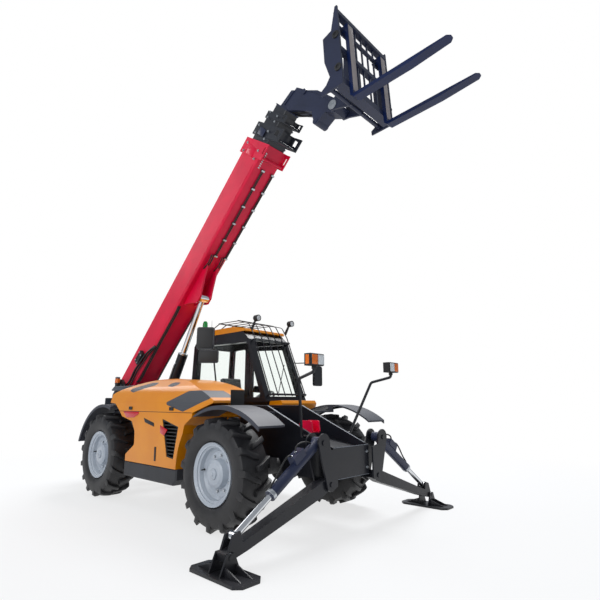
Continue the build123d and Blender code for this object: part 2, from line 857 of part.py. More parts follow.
def sloped_pane(foot, head, low, high, inward):
    """A pane that fills a window cut through a sloping end wall."""
    rows = []
    for z in (low, high):
        rows.append((foot.X + (head.X - foot.X) * (z - foot.Z) / (head.Z - foot.Z), z))
    with BuildSketch(side_plane(pane_left)) as view:
        Polygon(
            *[(x + inward * 14, z) for x, z in rows],
            *[(x + inward * (14 + glass), z) for x, z in reversed(rows)],
            align=None,
        )
    extrude(view.sketch, amount=pane_left - pane_right)


with BuildPart() as cab_glass:
    with BuildSketch(side_plane(cab_right + cab_wall / 2)):
        add(rounded(right_window, corner_round))
    extrude(amount=glass / 2, both=True)
    with BuildSketch(side_plane(cab_left - cab_wall / 2)):
        add(rounded(left_rear_window, corner_round))
    extrude(amount=glass / 2, both=True)
    sloped_pane(screen_foot, screen_head, screen_low, screen_high, -1)
    sloped_pane(rear_foot, rear_head, rear_low, rear_high, 1)
save(cab_glass, "cab_glass")

# guard bars in front of the windscreen, and those that go on over the roof
guard_count = 6
guard_first = cab_right + 60
guard_last = cab_left - 60
guard_gap = 62.0
guard_bar = 12.0
guard_rail = 24.0
guard_ys = [
    guard_first + (guard_last - guard_first) * step / (guard_count - 1) for step in range(guard_count)
]
bar_mid = guard_gap + guard_bar / 2
screen_length = (screen_head - screen_foot).length
screen_dir = (screen_head - screen_foot).normalized()
screen_out = Vector(screen_dir.Z, 0, -screen_dir.X)
guard_head = screen_length + 20


def screen_plane(y):
    """Side view on the windscreen: local x up along it, local y out of it."""
    origin = screen_foot + Vector(0, y, 0)
    return Plane(origin=origin, x_dir=screen_dir, z_dir=screen_dir.cross(screen_out))


with BuildPart() as cab_guard:
    for y in guard_ys:
        with BuildSketch(screen_plane(y)):
            with Locations(((guard_head + 50) / 2, bar_mid)):
                Rectangle(guard_head - 50, guard_bar)
        extrude(amount=guard_bar / 2, both=True)
    for along in (75, screen_length - 40):
        with BuildSketch(screen_plane(guard_first - 20)):
            with Locations((along, bar_mid)):
                Rectangle(guard_rail, guard_rail)
        extrude(amount=guard_last - guard_first + 40)
        for y in (guard_first - 13, guard_last + 13):
            with BuildSketch(screen_plane(y)):
                with Locations((along, (guard_gap + face_gap) / 2)):
                    Rectangle(guard_rail, guard_gap - face_gap)
            extrude(amount=7, both=True)
save(cab_guard, "cab_guard")

roof_rest = cab_top + roof_rise + face_gap + guard_bar / 2
crest = cab_top + roof_rise + 115
with BuildPart() as roof_guard:
    start = screen_foot + screen_dir * (guard_head + face_gap) + screen_out * bar_mid
    bend = start + screen_dir * 50
    for y in guard_ys:
        with BuildLine(side_plane(y)) as bar:
            FilletPolyline(
                (start.X, start.Z),
                (bend.X, bend.Z),
                (ahead(-1190), crest - 75),
                (ahead(-1440), crest - 10),
                (abaft(990), crest),
                (abaft(820), roof_rest + 40),
                (abaft(820), roof_rest - guard_bar / 2),
                radius=(50, 90, 60, 40, 15),
            )
        with BuildSketch(Plane(origin=bar.line @ 0, x_dir=(0, 1, 0), z_dir=bar.line % 0)):
            Rectangle(guard_bar, guard_bar)
        sweep()
    for x, z in ((ahead(-1440), crest - 10), (abaft(990), crest - 4)):
        with BuildSketch(side_plane(guard_last + 20)):
            with Locations((x, z)):
                Rectangle(guard_rail, 16)
        extrude(amount=guard_last - guard_first + 40)
save(roof_guard, "roof_guard")

seat_y = 720.0
with BuildPart() as seat:
    with BuildSketch(side_plane(seat_y + 240)):
        add(rounded([
            (abaft(1450), 1185), (abaft(1460), 1290), (abaft(1000), 1275),
            (abaft(900), 1880), (abaft(800), 1890), (abaft(870), 1185),
        ], 35))
    extrude(amount=480)
    # side bolsters on the cushion
    for y in (seat_y - 190, seat_y + 190):
        with BuildSketch(side_plane(y)):
            add(rounded([
                (abaft(1430), 1260), (abaft(1400), 1325), (abaft(1000), 1315), (abaft(1000), 1250),
            ], 20))
        extrude(amount=45, both=True)
save(seat, "seat")

with BuildPart() as seat_base:
    with BuildSketch(side_plane(seat_y + 180)):
        Polygon(
            (abaft(1350), cab_floor + cab_wall), (abaft(1390), 1185), (abaft(890), 1185),
            (abaft(890), cab_floor + cab_wall), align=None,
        )
    extrude(amount=360)
save(seat_base, "seat_base")

steer_lean = 35.0
steer_axis = Vector(-sin(radians(steer_lean)), 0, cos(radians(steer_lean)))
steer_wheel = Vector(ahead(-1215), seat_y, 1500)
with BuildPart() as dashboard:
    with BuildSketch(side_plane(cab_left - cab_wall - 30)):
        Polygon(
            (ahead(-860), cab_floor + cab_wall), (ahead(-800), 1100), (ahead(-760), 1400),
            (ahead(-930), 1470), (ahead(-1010), 1380), (ahead(-960), 1150),
            (ahead(-1020), cab_floor + cab_wall), align=None,
        )
    extrude(amount=cab_left - frame_half - 2 * cab_wall - 60)
    # steering column and wheel
    with BuildSketch(Plane(origin=steer_wheel - steer_axis * 420, z_dir=steer_axis)):
        RegularPolygon(32, 10)
    extrude(amount=430)
    with BuildSketch(Plane(origin=steer_wheel - steer_axis * 30, x_dir=(0, 1, 0), z_dir=steer_axis)):
        RegularPolygon(190, 24)
        RegularPolygon(166, 24, mode=Mode.SUBTRACT)
        Rectangle(350, 34)
        with Locations((0, -85)):
            Rectangle(34, 170)
    extrude(amount=24)
    with BuildSketch(side_plane(seat_y)):
        Polygon(
            (ahead(-900), 1050), (ahead(-900), 1250), (ahead(-1150), 1330), (ahead(-1130), 1200),
            align=None,
        )
    extrude(amount=45, both=True)
save(dashboard, "dashboard")

with BuildPart() as cowl:
    with BuildSketch(side_plane(1110)):
        add(rounded([
            (ahead(-710.9), 1240), (ahead(-670.5), 1436), (ahead(-430), 1446), (ahead(-400), 1400),
            (ahead(-450), 1240),
        ], 16))
    extrude(amount=1110 - frame_half)
save(cowl, "cowl")

tank_low = 420.0
tank_top = 700.0
tank_outer = 1150.0
tank_front = ahead(-765)
tank_rear = abaft(820)
step_front = ahead(-1050)
step_rear = abaft(1400)
with BuildPart() as fuel_tank:
    with BuildSketch(side_plane(tank_outer)):
        Polygon(
            (tank_rear, tank_low + 60), (tank_rear, tank_top), (tank_front, tank_top),
            (tank_front, tank_low + 90), (tank_front - 90, tank_low), (tank_rear + 60, tank_low),
            align=None,
        )
    extrude(amount=tank_outer - frame_half)
    # recess for the cab steps
    with BuildSketch(Plane.XY.offset(tank_low + 40)):
        with Locations(((step_front + step_rear) / 2, tank_outer)):
            Rectangle(step_front - step_rear, 300)
    extrude(amount=tank_top - tank_low, mode=Mode.SUBTRACT)
    with BuildSketch(Plane.XY.offset(tank_low + 165)):
        with Locations(((step_front + step_rear) / 2, tank_outer - 85)):
            Rectangle(step_front - step_rear, 150)
    extrude(amount=22)
    chamfer(fuel_tank.edges().filter_by(Axis.X).group_by(Axis.Y)[-1].group_by(Axis.Z)[0], 25)
save(fuel_tank, "fuel_tank")

# ---------------------------------------------------------------- fenders
fender_width = 390.0
fender_thick = 22.0
lip_drop = 50.0
lip_thick = 14.0
fender_table = [
    # axle x, side, rear x and z, top x and z, front x and z, stay x
    (0, -1, -405, 1246, 130, 1385, 790, 1175, 130),
    (0, 1, -520, 1175, 130, 1385, 790, 1175, 130),
    (-wheelbase, -1, -760, 780, -330, 1290, 320, 1350, -330),
    (-wheelbase, 1, -760, 780, -330, 1290, 320, 1350, -330),
]
stay_thick = 24.0
stay_z = 2 * tyre_radius + 28 + stay_thick / 2
with BuildPart() as fenders:
    for axle, side, x0, z0, x1, z1, x2, z2, stay_x in fender_table:
        with BuildSketch(side_plane(side * wheel_y)):
            with BuildLine():
                ThreePointArc((ahead(axle + x0), z0), (ahead(axle + x1), z1), (ahead(axle + x2), z2))
                Line((ahead(axle + x2), z2), (ahead(axle + x2), z2 - fender_thick))
                ThreePointArc(
                    (ahead(axle + x2), z2 - fender_thick),
                    (ahead(axle + x1), z1 - fender_thick),
                    (ahead(axle + x0 + fender_thick), z0),
                )
                Line((ahead(axle + x0 + fender_thick), z0), (ahead(axle + x0), z0))
            make_face()
        extrude(amount=fender_width / 2, both=True)
        # lip turned down along the outer edge
        with BuildSketch(side_plane(side * (wheel_y + fender_width / 2 - lip_thick / 2))):
            with BuildLine():
                ThreePointArc((ahead(axle + x0), z0), (ahead(axle + x1), z1), (ahead(axle + x2), z2))
                Line((ahead(axle + x2), z2), (ahead(axle + x2), z2 - lip_drop))
                ThreePointArc(
                    (ahead(axle + x2), z2 - lip_drop),
                    (ahead(axle + x1), z1 - lip_drop),
                    (ahead(axle + x0 + lip_drop), z0),
                )
                Line((ahead(axle + x0 + lip_drop), z0), (ahead(axle + x0), z0))
            make_face()
        extrude(amount=lip_thick / 2, both=True)
        # stay: an arm out of the frame over the tyre's top and a riser to the fender
        fender_edge = wheel_y - fender_width / 2
        with BuildSketch(side_plane(side * (frame_half + fender_edge + 25) / 2)):
            with Locations((ahead(axle + stay_x), stay_z)):
                Rectangle(80, stay_thick)
        extrude(amount=(fender_edge + 25 - frame_half) / 2, both=True)
        with BuildSketch(side_plane(side * (fender_edge + 12.5))):
            with Locations((ahead(axle + stay_x), (stay_z + z1 - fender_thick) / 2)):
                Rectangle(80, z1 - fender_thick - stay_z + 8)
        extrude(amount=12.5, both=True)
save(fenders, "fenders")

# ---------------------------------------------------------------- lights and mirrors
mast_y = -285.0
mast_radius = 12.0
mast_foot = (ahead(-1165), 1640)
mast_top = (ahead(-1375), 2560)
mirror_turn = 45.0  # how far a mirror's face is turned from straight back
mirror_thick = 45.0
mirror_out = 68.0  # heads' middle beyond the mast, clear of the lowered boom
# heads on the right-hand mast.  columns: middle x and z, width, height
mirror_table = [
    (ahead(-1300), 2100, 300, 200),
    (ahead(-1400), 2385, 270, 350),
]
with BuildPart() as light_arms:
    for side in (-1, 1):
        route = [
            (ahead(727), side * frame_half, 1030),
            (ahead(727), side * 462, 1030),
            (ahead(917), side * 712, 1677),
            (ahead(1190), side * 771, 1740),
            (ahead(1190), side * 771, 1800),
        ]
        with BuildLine() as path:
            FilletPolyline(*route, radius=(50, 50, 35))
        with BuildSketch(Plane(origin=path.line @ 0, z_dir=path.line % 0)):
            RegularPolygon(18, 8)
        sweep()
    # mirror mast on the engine cover's fixed wall
    with BuildSketch(side_plane(mast_y + mast_radius)):
        with Locations(mast_foot):
            Rectangle(90, 50)
    extrude(amount=mast_y + mast_radius - hood_inner)
    mast_start = Vector(mast_foot[0], mast_y, mast_foot[1])
    mast_dir = (Vector(mast_top[0], mast_y, mast_top[1]) - mast_start).normalized()
    with BuildSketch(Plane(origin=mast_start, z_dir=mast_dir)):
        RegularPolygon(mast_radius, 8)
    extrude(amount=(Vector(mast_top[0], mast_y, mast_top[1]) - mast_start).length)
    turn = radians(mirror_turn)
    back = Vector(cos(turn), -sin(turn), 0)
    across = Vector(sin(turn), cos(turn), 0)
    for x, z, wide, high in mirror_table:
        centre = Vector(x, mast_y - mirror_out, z)
        with BuildSketch(Plane(origin=centre, x_dir=across, z_dir=back)):
            RectangleRounded(wide, high, 35)
        extrude(amount=mirror_thick / 2, both=True)
    # left-hand mirror on an arm from the cab's front pillar
    left_arm = [
        (ahead(-988), cab_left, 2080), (ahead(-988), 1290, 2080), (ahead(-640), 1420, 2080),
        (ahead(-640), 1420, 2000),
    ]
    with BuildLine() as path:
        FilletPolyline(*left_arm, radius=30)
    with BuildSketch(Plane(origin=path.line @ 0, z_dir=path.line % 0)):
        RegularPolygon(9, 8)
    sweep()
    with BuildSketch(Plane(origin=(ahead(-640), 1420, 1850), x_dir=(0, 1, 0), z_dir=(1, 0, 0))):
        RectangleRounded(200, 330, 35)
    extrude(amount=mirror_thick / 2, both=True)
save(light_arms, "light_arms")

# round work lamps on the guard's upper corners.  columns: x, y, z
work_lamps = [(ahead(-1010), 320, 2745), (ahead(-1010), 1095, 2745)]
with BuildPart() as head_lamps:
    for side in (-1, 1):
        with BuildSketch(side_plane(side * 771)):
            with Locations((ahead(1190), 1865)):
                Rectangle(90, 130)
        extrude(amount=105, both=True)
    for x, y, z in work_lamps:
        with BuildSketch(end_plane(x)):
            with Locations((y, z)):
                RegularPolygon(52, 16)
        extrude(amount=70)
        # bracket on the side of a guard bar
        with BuildSketch(side_plane(y)):
            Polygon((x, z), (x + 40, z), (x - 60, z - 185), (x - 115, z - 155), align=None)
        extrude(amount=4, both=True)
save(head_lamps, "head_lamps")

# ---------------------------------------------------------------- boom
sections = []
width, depth = boom_width, boom_depth
for wall in (boom_wall, 9.0, 8.0, 8.0):
    sections.append((width, depth, wall))
    width -= 2 * (wall + slide_gap)
    depth -= 2 * (wall + slide_gap)


def tube(section, start, end):
    """A boom section's box tube from one place along the boom to another."""
    wide, deep, wall = section
    with BuildSketch(boom_section(start)) as ring:
        with Locations((0, boom_rise)):
            RectangleRounded(wide, deep, 30)
            RectangleRounded(wide - 2 * wall, deep - 2 * wall, 22, mode=Mode.SUBTRACT)
    extrude(ring.sketch, amount=end - start, dir=tuple(boom_dir))


def head(step):
    """The thick head of one section: a ring round the next one, with plates below it."""
    rear, front, top, bottom = head_table[step]
    wide, deep, wall = sections[step]
    inner = sections[step + 1]
    half = wide / 2 + head_plate
    low = boom_rise - deep / 2 - head_plate
    rake = head_rake * (top - bottom)
    raked = [(rear, top), (front, top), (front + rake, bottom), (rear + rake, bottom)]
    with BuildPart(mode=Mode.PRIVATE) as form:
        with BuildSketch(boom_section(rear)):
            with Locations((0, (top + low) / 2)):
                Rectangle(2 * half, top - low)
            with Locations((0, boom_rise)):
                Rectangle(inner[0] + 2 * face_gap, inner[1] + 2 * face_gap, mode=Mode.SUBTRACT)
            for side in (-1, 1):
                with Locations((side * (half - head_plate / 2), (low + bottom) / 2)):
                    Rectangle(head_plate, low - bottom)
        extrude(amount=front - rear + rake)
        with BuildSketch(boom_plane(0)):
            Polygon(*raked, align=None)
        extrude(amount=half + 20, both=True, mode=Mode.INTERSECT)
        # opening in each lower plate, and a roller between them
        middle = (rear + front) / 2 + head_rake * (top - (low + bottom) / 2)
        drop = low - bottom
        with BuildSketch(boom_plane(0)):
            with Locations((middle + 20, (low + bottom) / 2 + 5)):
                RectangleRounded((front - rear) * 0.42, drop * 0.45, 10)
        extrude(amount=half + 20, both=True, mode=Mode.SUBTRACT)
        with BuildSketch(boom_plane(0)):
            with Locations((middle - (front - rear) * 0.34, bottom + 28)):
                RegularPolygon(20, 8)
        extrude(amount=half, both=True)
    add(form.part)


# ears that hold the lift cylinder's eye, in boom coordinates
ear_inner = lift_radius + clear
ear_thick = 30.0
boom_low = boom_rise - boom_depth / 2
ear_outline = [
    (lift_eye_u - 340, boom_low + 2),
    (lift_eye_u - 240, boom_low - 90),
    (lift_eye_u - 100, lift_eye_w - 60),
    (lift_eye_u - 60, lift_eye_w - 95),
    (lift_eye_u + 60, lift_eye_w - 95),
    (lift_eye_u + 150, lift_eye_w - 40),
    (lift_eye_u + 640, boom_low + 2),
]

with BuildPart() as boom_base:
    tube(sections[0], tail_u, head_table[0][1])
    head(0)
    # pivot tube across the tail, with the pin's ends in the frame's bores
    with BuildSketch(boom_plane(0)):
        Circle(pivot_pin - pin_gap)
    extrude(amount=frame_half, both=True)
    with BuildSketch(boom_plane(0)):
        Circle(pivot_pin + 60)
    extrude(amount=frame_inner - face_gap, both=True)
    for low in (ear_inner, -ear_inner - ear_thick):
        with BuildSketch(boom_plane(low + ear_thick / 2)):
            Polygon(*ear_outline, align=None)
        extrude(amount=ear_thick / 2, both=True)
save(boom_base, "boom_base")

# pipes clipped under the boom.  columns: side, middle of the pair
line_pairs = [(1, 175), (-1, 40)]
line_radius = 9.0
line_from = lift_eye_u + 720
line_to = 4950.0
line_drop = 16.0
clip_pitch = 330.0
with BuildPart() as boom_lines:
    for side, middle in line_pairs:
        for shift in (-13, 13):
            origin = boom_pivot + boom_dir * line_from + boom_up * (boom_low - line_drop)
            origin += Vector(0, side * middle + shift, 0)
            with BuildSketch(Plane(origin=origin, z_dir=boom_dir)):
                RegularPolygon(line_radius, 8)
            extrude(amount=line_to - line_from)
        for step in range(6):
            with BuildSketch(boom_plane(side * middle)):
                with Locations((line_from + 20 + clip_pitch * step, boom_low - 15)):
                    Rectangle(36, 30)
            extrude(amount=30, both=True)
save(boom_lines, "boom_lines")

rest_rear = ahead(540)
rest_front = ahead(765)
rest_low = 1060.0
rest_high = 1206.0
rest_wall = 20.0
with BuildPart() as boom_rest:
    with BuildSketch(end_plane(rest_rear)):
        with Locations((-frame_inner + 75, (rest_low + rest_high) / 2)):
            Rectangle(150, rest_high - rest_low)
        with Locations((-frame_inner + 75, (rest_low + rest_high) / 2 + rest_wall)):
            Rectangle(150 - 2 * rest_wall, rest_high - rest_low, mode=Mode.SUBTRACT)
    extrude(amount=rest_front - rest_rear)
    with BuildSketch(side_plane(-frame_inner)):
        add(rounded([
            (rest_rear, rest_low), (rest_front, rest_low), (rest_front - 20, rest_high),
            (rest_rear + 20, rest_high),
        ], 28))
    extrude(amount=-300, mode=Mode.INTERSECT)
save(boom_rest, "boom_rest")

with BuildPart() as boom_mid_1:
    tube(sections[1], section_start, head_table[1][1])
    head(1)
save(boom_mid_1, "boom_mid_1")

with BuildPart() as boom_mid_2:
    tube(sections[2], section_start + 60, head_table[2][1])
    head(2)
save(boom_mid_2, "boom_mid_2")

with BuildPart() as boom_inner:
    tube(sections[3], section_start + 120, inner_end)
save(boom_inner, "boom_inner")

gooseneck_half = 115.0
gooseneck = [
    (inner_end, boom_rise + 60),
    (inner_end + 290, boom_rise),
    (tilt_u + 80, tilt_w + 500),
    (tilt_u + 95, tilt_w + 60),
    (tilt_u + 60, tilt_w - 70),
    (tilt_u - 60, tilt_w - 70),
    (tilt_u - 130, tilt_w + 120),
    (tilt_u - 300, tilt_w + 700),
    (inner_end, boom_low + 110),
]
with BuildPart() as boom_head:
    with BuildSketch(boom_plane(0)):
        Polygon(*gooseneck, align=None)
        with Locations((tilt_u - 284, tilt_w + 192)):
            Circle(58)
        Polygon(
            (tilt_u - 300, tilt_w + 245), (tilt_u - 190, tilt_w + 400), (tilt_u - 100, tilt_w + 100),
            (tilt_u - 270, tilt_w + 140), align=None,
        )
        with Locations((tilt_u, tilt_w)):
            Circle(tilt_pin, mode=Mode.SUBTRACT)
    extrude(amount=gooseneck_half, both=True)
    # the sides are webs that stand back between the flanges
    with BuildSketch(boom_plane(0)):
        Polygon(
            (inner_end + 60, boom_rise - 20), (tilt_u - 30, boom_rise - 80),
            (tilt_u + 40, tilt_w + 480), (tilt_u + 40, tilt_w + 150), (tilt_u - 90, tilt_w + 230),
            (tilt_u - 220, tilt_w + 660), (inner_end + 50, boom_low + 160), align=None,
        )
    extrude(amount=gooseneck_half, both=True, mode=Mode.SUBTRACT)
    with BuildSketch(boom_plane(0)):
        Polygon(
            (inner_end + 50, boom_rise - 10), (tilt_u - 20, boom_rise - 70),
            (tilt_u + 50, tilt_w + 485), (tilt_u + 50, tilt_w + 140), (tilt_u - 100, tilt_w + 220),
            (tilt_u - 230, tilt_w + 655), (inner_end + 40, boom_low + 150), align=None,
        )
    extrude(amount=gooseneck_half - 12, both=True)
    # pin heads
    for u, w, radius in ((tilt_u - 23, tilt_w + 779, 42), (tilt_u - 284, tilt_w + 192, 34)):
        with BuildSketch(boom_plane(0)):
            with Locations((u, w)):
                RegularPolygon(radius, 16)
        extrude(amount=gooseneck_half + 4, both=True)
    with BuildSketch(boom_section(inner_end)) as flange:
        with Locations((0, boom_rise)):
            Rectangle(sections[3][0], sections[3][1])
    extrude(flange.sketch, amount=20, dir=tuple(boom_dir))
save(boom_head, "boom_head")

# ---------------------------------------------------------------- lift cylinder
lift_eye = boom_pivot + boom_dir * lift_eye_u + boom_up * (lift_eye_w - lift_rest_drop)
lift_dir = (lift_eye - lift_base).normalized()
eye_half = 85.0

with BuildPart() as lift_barrel_part:
    with BuildSketch(Plane(origin=lift_base, z_dir=lift_dir)):
        Circle(lift_radius)
    extrude(amount=lift_barrel)
    with BuildSketch(side_plane(0)):
        with Locations((lift_base.X, lift_base.Z)):
            Circle(lift_radius + 5)
    extrude(amount=eye_half, both=True)
    with BuildSketch(side_plane(0)):
        with Locations((lift_base.X, lift_base.Z)):
            Circle(lift_pin)
    extrude(amount=lift_radius + 20, both=True, mode=Mode.SUBTRACT)
    with BuildSketch(Plane(origin=lift_base + lift_dir * (lift_radius + 30), z_dir=lift_dir)):
        Circle(lift_rod_radius + face_gap)
    extrude(amount=lift_barrel, mode=Mode.SUBTRACT)
save(lift_barrel_part, "lift_cylinder_barrel")

lift_rod_end = lift_radius + 35  # rod's inner end above the base pin when fully in
with BuildPart() as lift_rod:
    with BuildSketch(Plane(origin=lift_eye, z_dir=-lift_dir)):
        Circle(lift_rod_radius)
    extrude(amount=lift_closed - lift_rod_end)
    with BuildSketch(side_plane(0)):
        with Locations((lift_eye.X, lift_eye.Z)):
            Circle(lift_eye_radius)
    extrude(amount=eye_half, both=True)
save(lift_rod, "lift_cylinder_rod")

# ---------------------------------------------------------------- fork carriage
def fork_place(x, z):
    """Row-frame place of a point given along and square to the forks."""
    return heel + fork_dir * x + fork_up * z


pivot_x, pivot_h = -heel_ahead, heel_drop
with BuildPart() as coupler:
    for low, high in ((gooseneck_half + clear, gooseneck_half + clear + 30),
                      (-gooseneck_half - clear - 30, -gooseneck_half - clear)):
        with BuildSketch(fork_plane((low + high) / 2)):
            Polygon(
                (pivot_x - 70, pivot_h + 10), (pivot_x - 40, pivot_h - 75),
                (pivot_x + 60, pivot_h - 90), (-245, 130), (-245, 980), (-300, 980),
                (-330, 600), (pivot_x + 60, pivot_h + 110), (pivot_x - 40, pivot_h + 75),
                align=None,
            )
        extrude(amount=(high - low) / 2, both=True)
    with BuildSketch(fork_plane(0)):
        with Locations((pivot_x, pivot_h)):
            Circle(tilt_pin - pin_gap)
    extrude(amount=gooseneck_half + clear + 30, both=True)
    for x, z in ((-275, 170), (-275, 930)):
        with BuildSketch(fork_plane(0)):
            with Locations((x, z)):
                Circle(32)
        extrude(amount=carriage_half - 60, both=True)
save(coupler, "coupler")

carriage_face = -fork_thick - face_gap
shaft_x, shaft_z, shaft_radius = -95.0, fork_shank - 60, 28.0
side_outline = [
    (carriage_face, 100), (carriage_face, carriage_top + 50), (-85, carriage_top + 50), (-170, 970),
    (-310, 930), (-310, 560), (-240, 300), (-310, 210), (-400, 160), (-400, 100),
]
bar_half = carriage_half - 25
with BuildPart() as carriage:
    for low, high in ((bar_half, carriage_half), (-carriage_half, -bar_half)):
        with BuildSketch(fork_plane((low + high) / 2)):
            Polygon(*side_outline, align=None)
        extrude(amount=(high - low) / 2, both=True)
    # cross rails: along the forks from, to, up from, to
    for x0, x1, z0, z1 in ((-130, carriage_face, carriage_top - 60, carriage_top),
                           (-190, carriage_face, 110, 200), (-120, carriage_face, 620, 680)):
        with BuildSketch(fork_plane(0)):
            with Locations(((x0 + x1) / 2, (z0 + z1) / 2)):
                Rectangle(x1 - x0, z1 - z0)
        extrude(amount=bar_half, both=True)
    for y in (-500, -285, -140, 0, 140, 285, 500):
        with BuildSketch(fork_plane(y)):
            with Locations((-100, 700)):
                Rectangle(20, 1100)
        extrude(amount=10, both=True)
    # stubs that the coupler's tubes end in
    for x, z in ((-275, 170), (-275, 930)):
        with BuildSketch(fork_plane(0)):
            with Locations((x, z)):
                Circle(45)
        extrude(amount=bar_half, both=True)
        with BuildSketch(fork_plane(0)):
            with Locations((x, z)):
                Circle(50)
        extrude(amount=carriage_half - 60, both=True, mode=Mode.SUBTRACT)
    with BuildSketch(fork_plane(0)):
        with Locations((shaft_x, shaft_z)):
            Circle(shaft_radius)
    extrude(amount=bar_half, both=True)
save(carriage, "carriage")

for side, hand in ((-1, "right"), (1, "left")):
    with BuildPart() as fork:
        with BuildSketch(fork_plane(side * fork_y)):
            Polygon(
                (-fork_thick, fork_shank), (0, fork_shank), (0, 0), (fork_length, 0),
                (fork_length, -14), (fork_length - 500, -fork_thick), (0, -fork_thick),
                (-fork_thick, 0), align=None,
            )
            with Locations((shaft_x, shaft_z)):
                Circle(shaft_radius + 25)
            with Locations((shaft_x + 30, shaft_z)):
                Rectangle(60, 2 * (shaft_radius + 25))
            with Locations((shaft_x, shaft_z)):
                Circle(shaft_radius + pin_gap, mode=Mode.SUBTRACT)
        extrude(amount=fork_width / 2, both=True)
        tips = fork.edges().filter_by(lambda edge: abs(edge.length - 14) < 0.1)
        chamfer(tips, 38)
    save(fork, f"fork_{hand}")

# ---------------------------------------------------------------- stabilisers
stab_row_x = ahead(stab_x)
tower_half = 95.0
tower_plate = 20.0
tower_top = 92.0
tower_foot = 72.0
leg_half = 62.0
ear_plate = leg_half - ram_eye_half - clear
hinge_pin = 28.0


with BuildPart() as stabiliser_towers:
    for side in (-1, 1):
        for x in (stab_row_x - tower_half + tower_plate / 2, stab_row_x + tower_half - tower_plate / 2):
            with BuildSketch(end_plane(x)):
                # a long link, wide at the ram and narrow at the leg
                with Locations((side * (ram_top_y - 5), ram_top_z + 5)):
                    Circle(tower_top)
                with Locations((side * leg_y, leg_z)):
                    Circle(tower_foot)
                make_hull()
                Polygon(
                    (side * frame_half, leg_z - 30), (side * leg_y, leg_z - tower_foot),
                    (side * (ram_top_y - 40), ram_top_z - 60), (side * frame_half, ram_top_z - 100),
                    align=None,
                )
            extrude(amount=tower_plate / 2, both=True)
        for y, z in ((leg_y, leg_z), (ram_top_y, ram_top_z)):
            with BuildSketch(end_plane(stab_row_x)):
                with Locations((side * y, z)):
                    Circle(hinge_pin - pin_gap)
            extrude(amount=tower_half + 12, both=True)
save(stabiliser_towers, "stabiliser_towers")

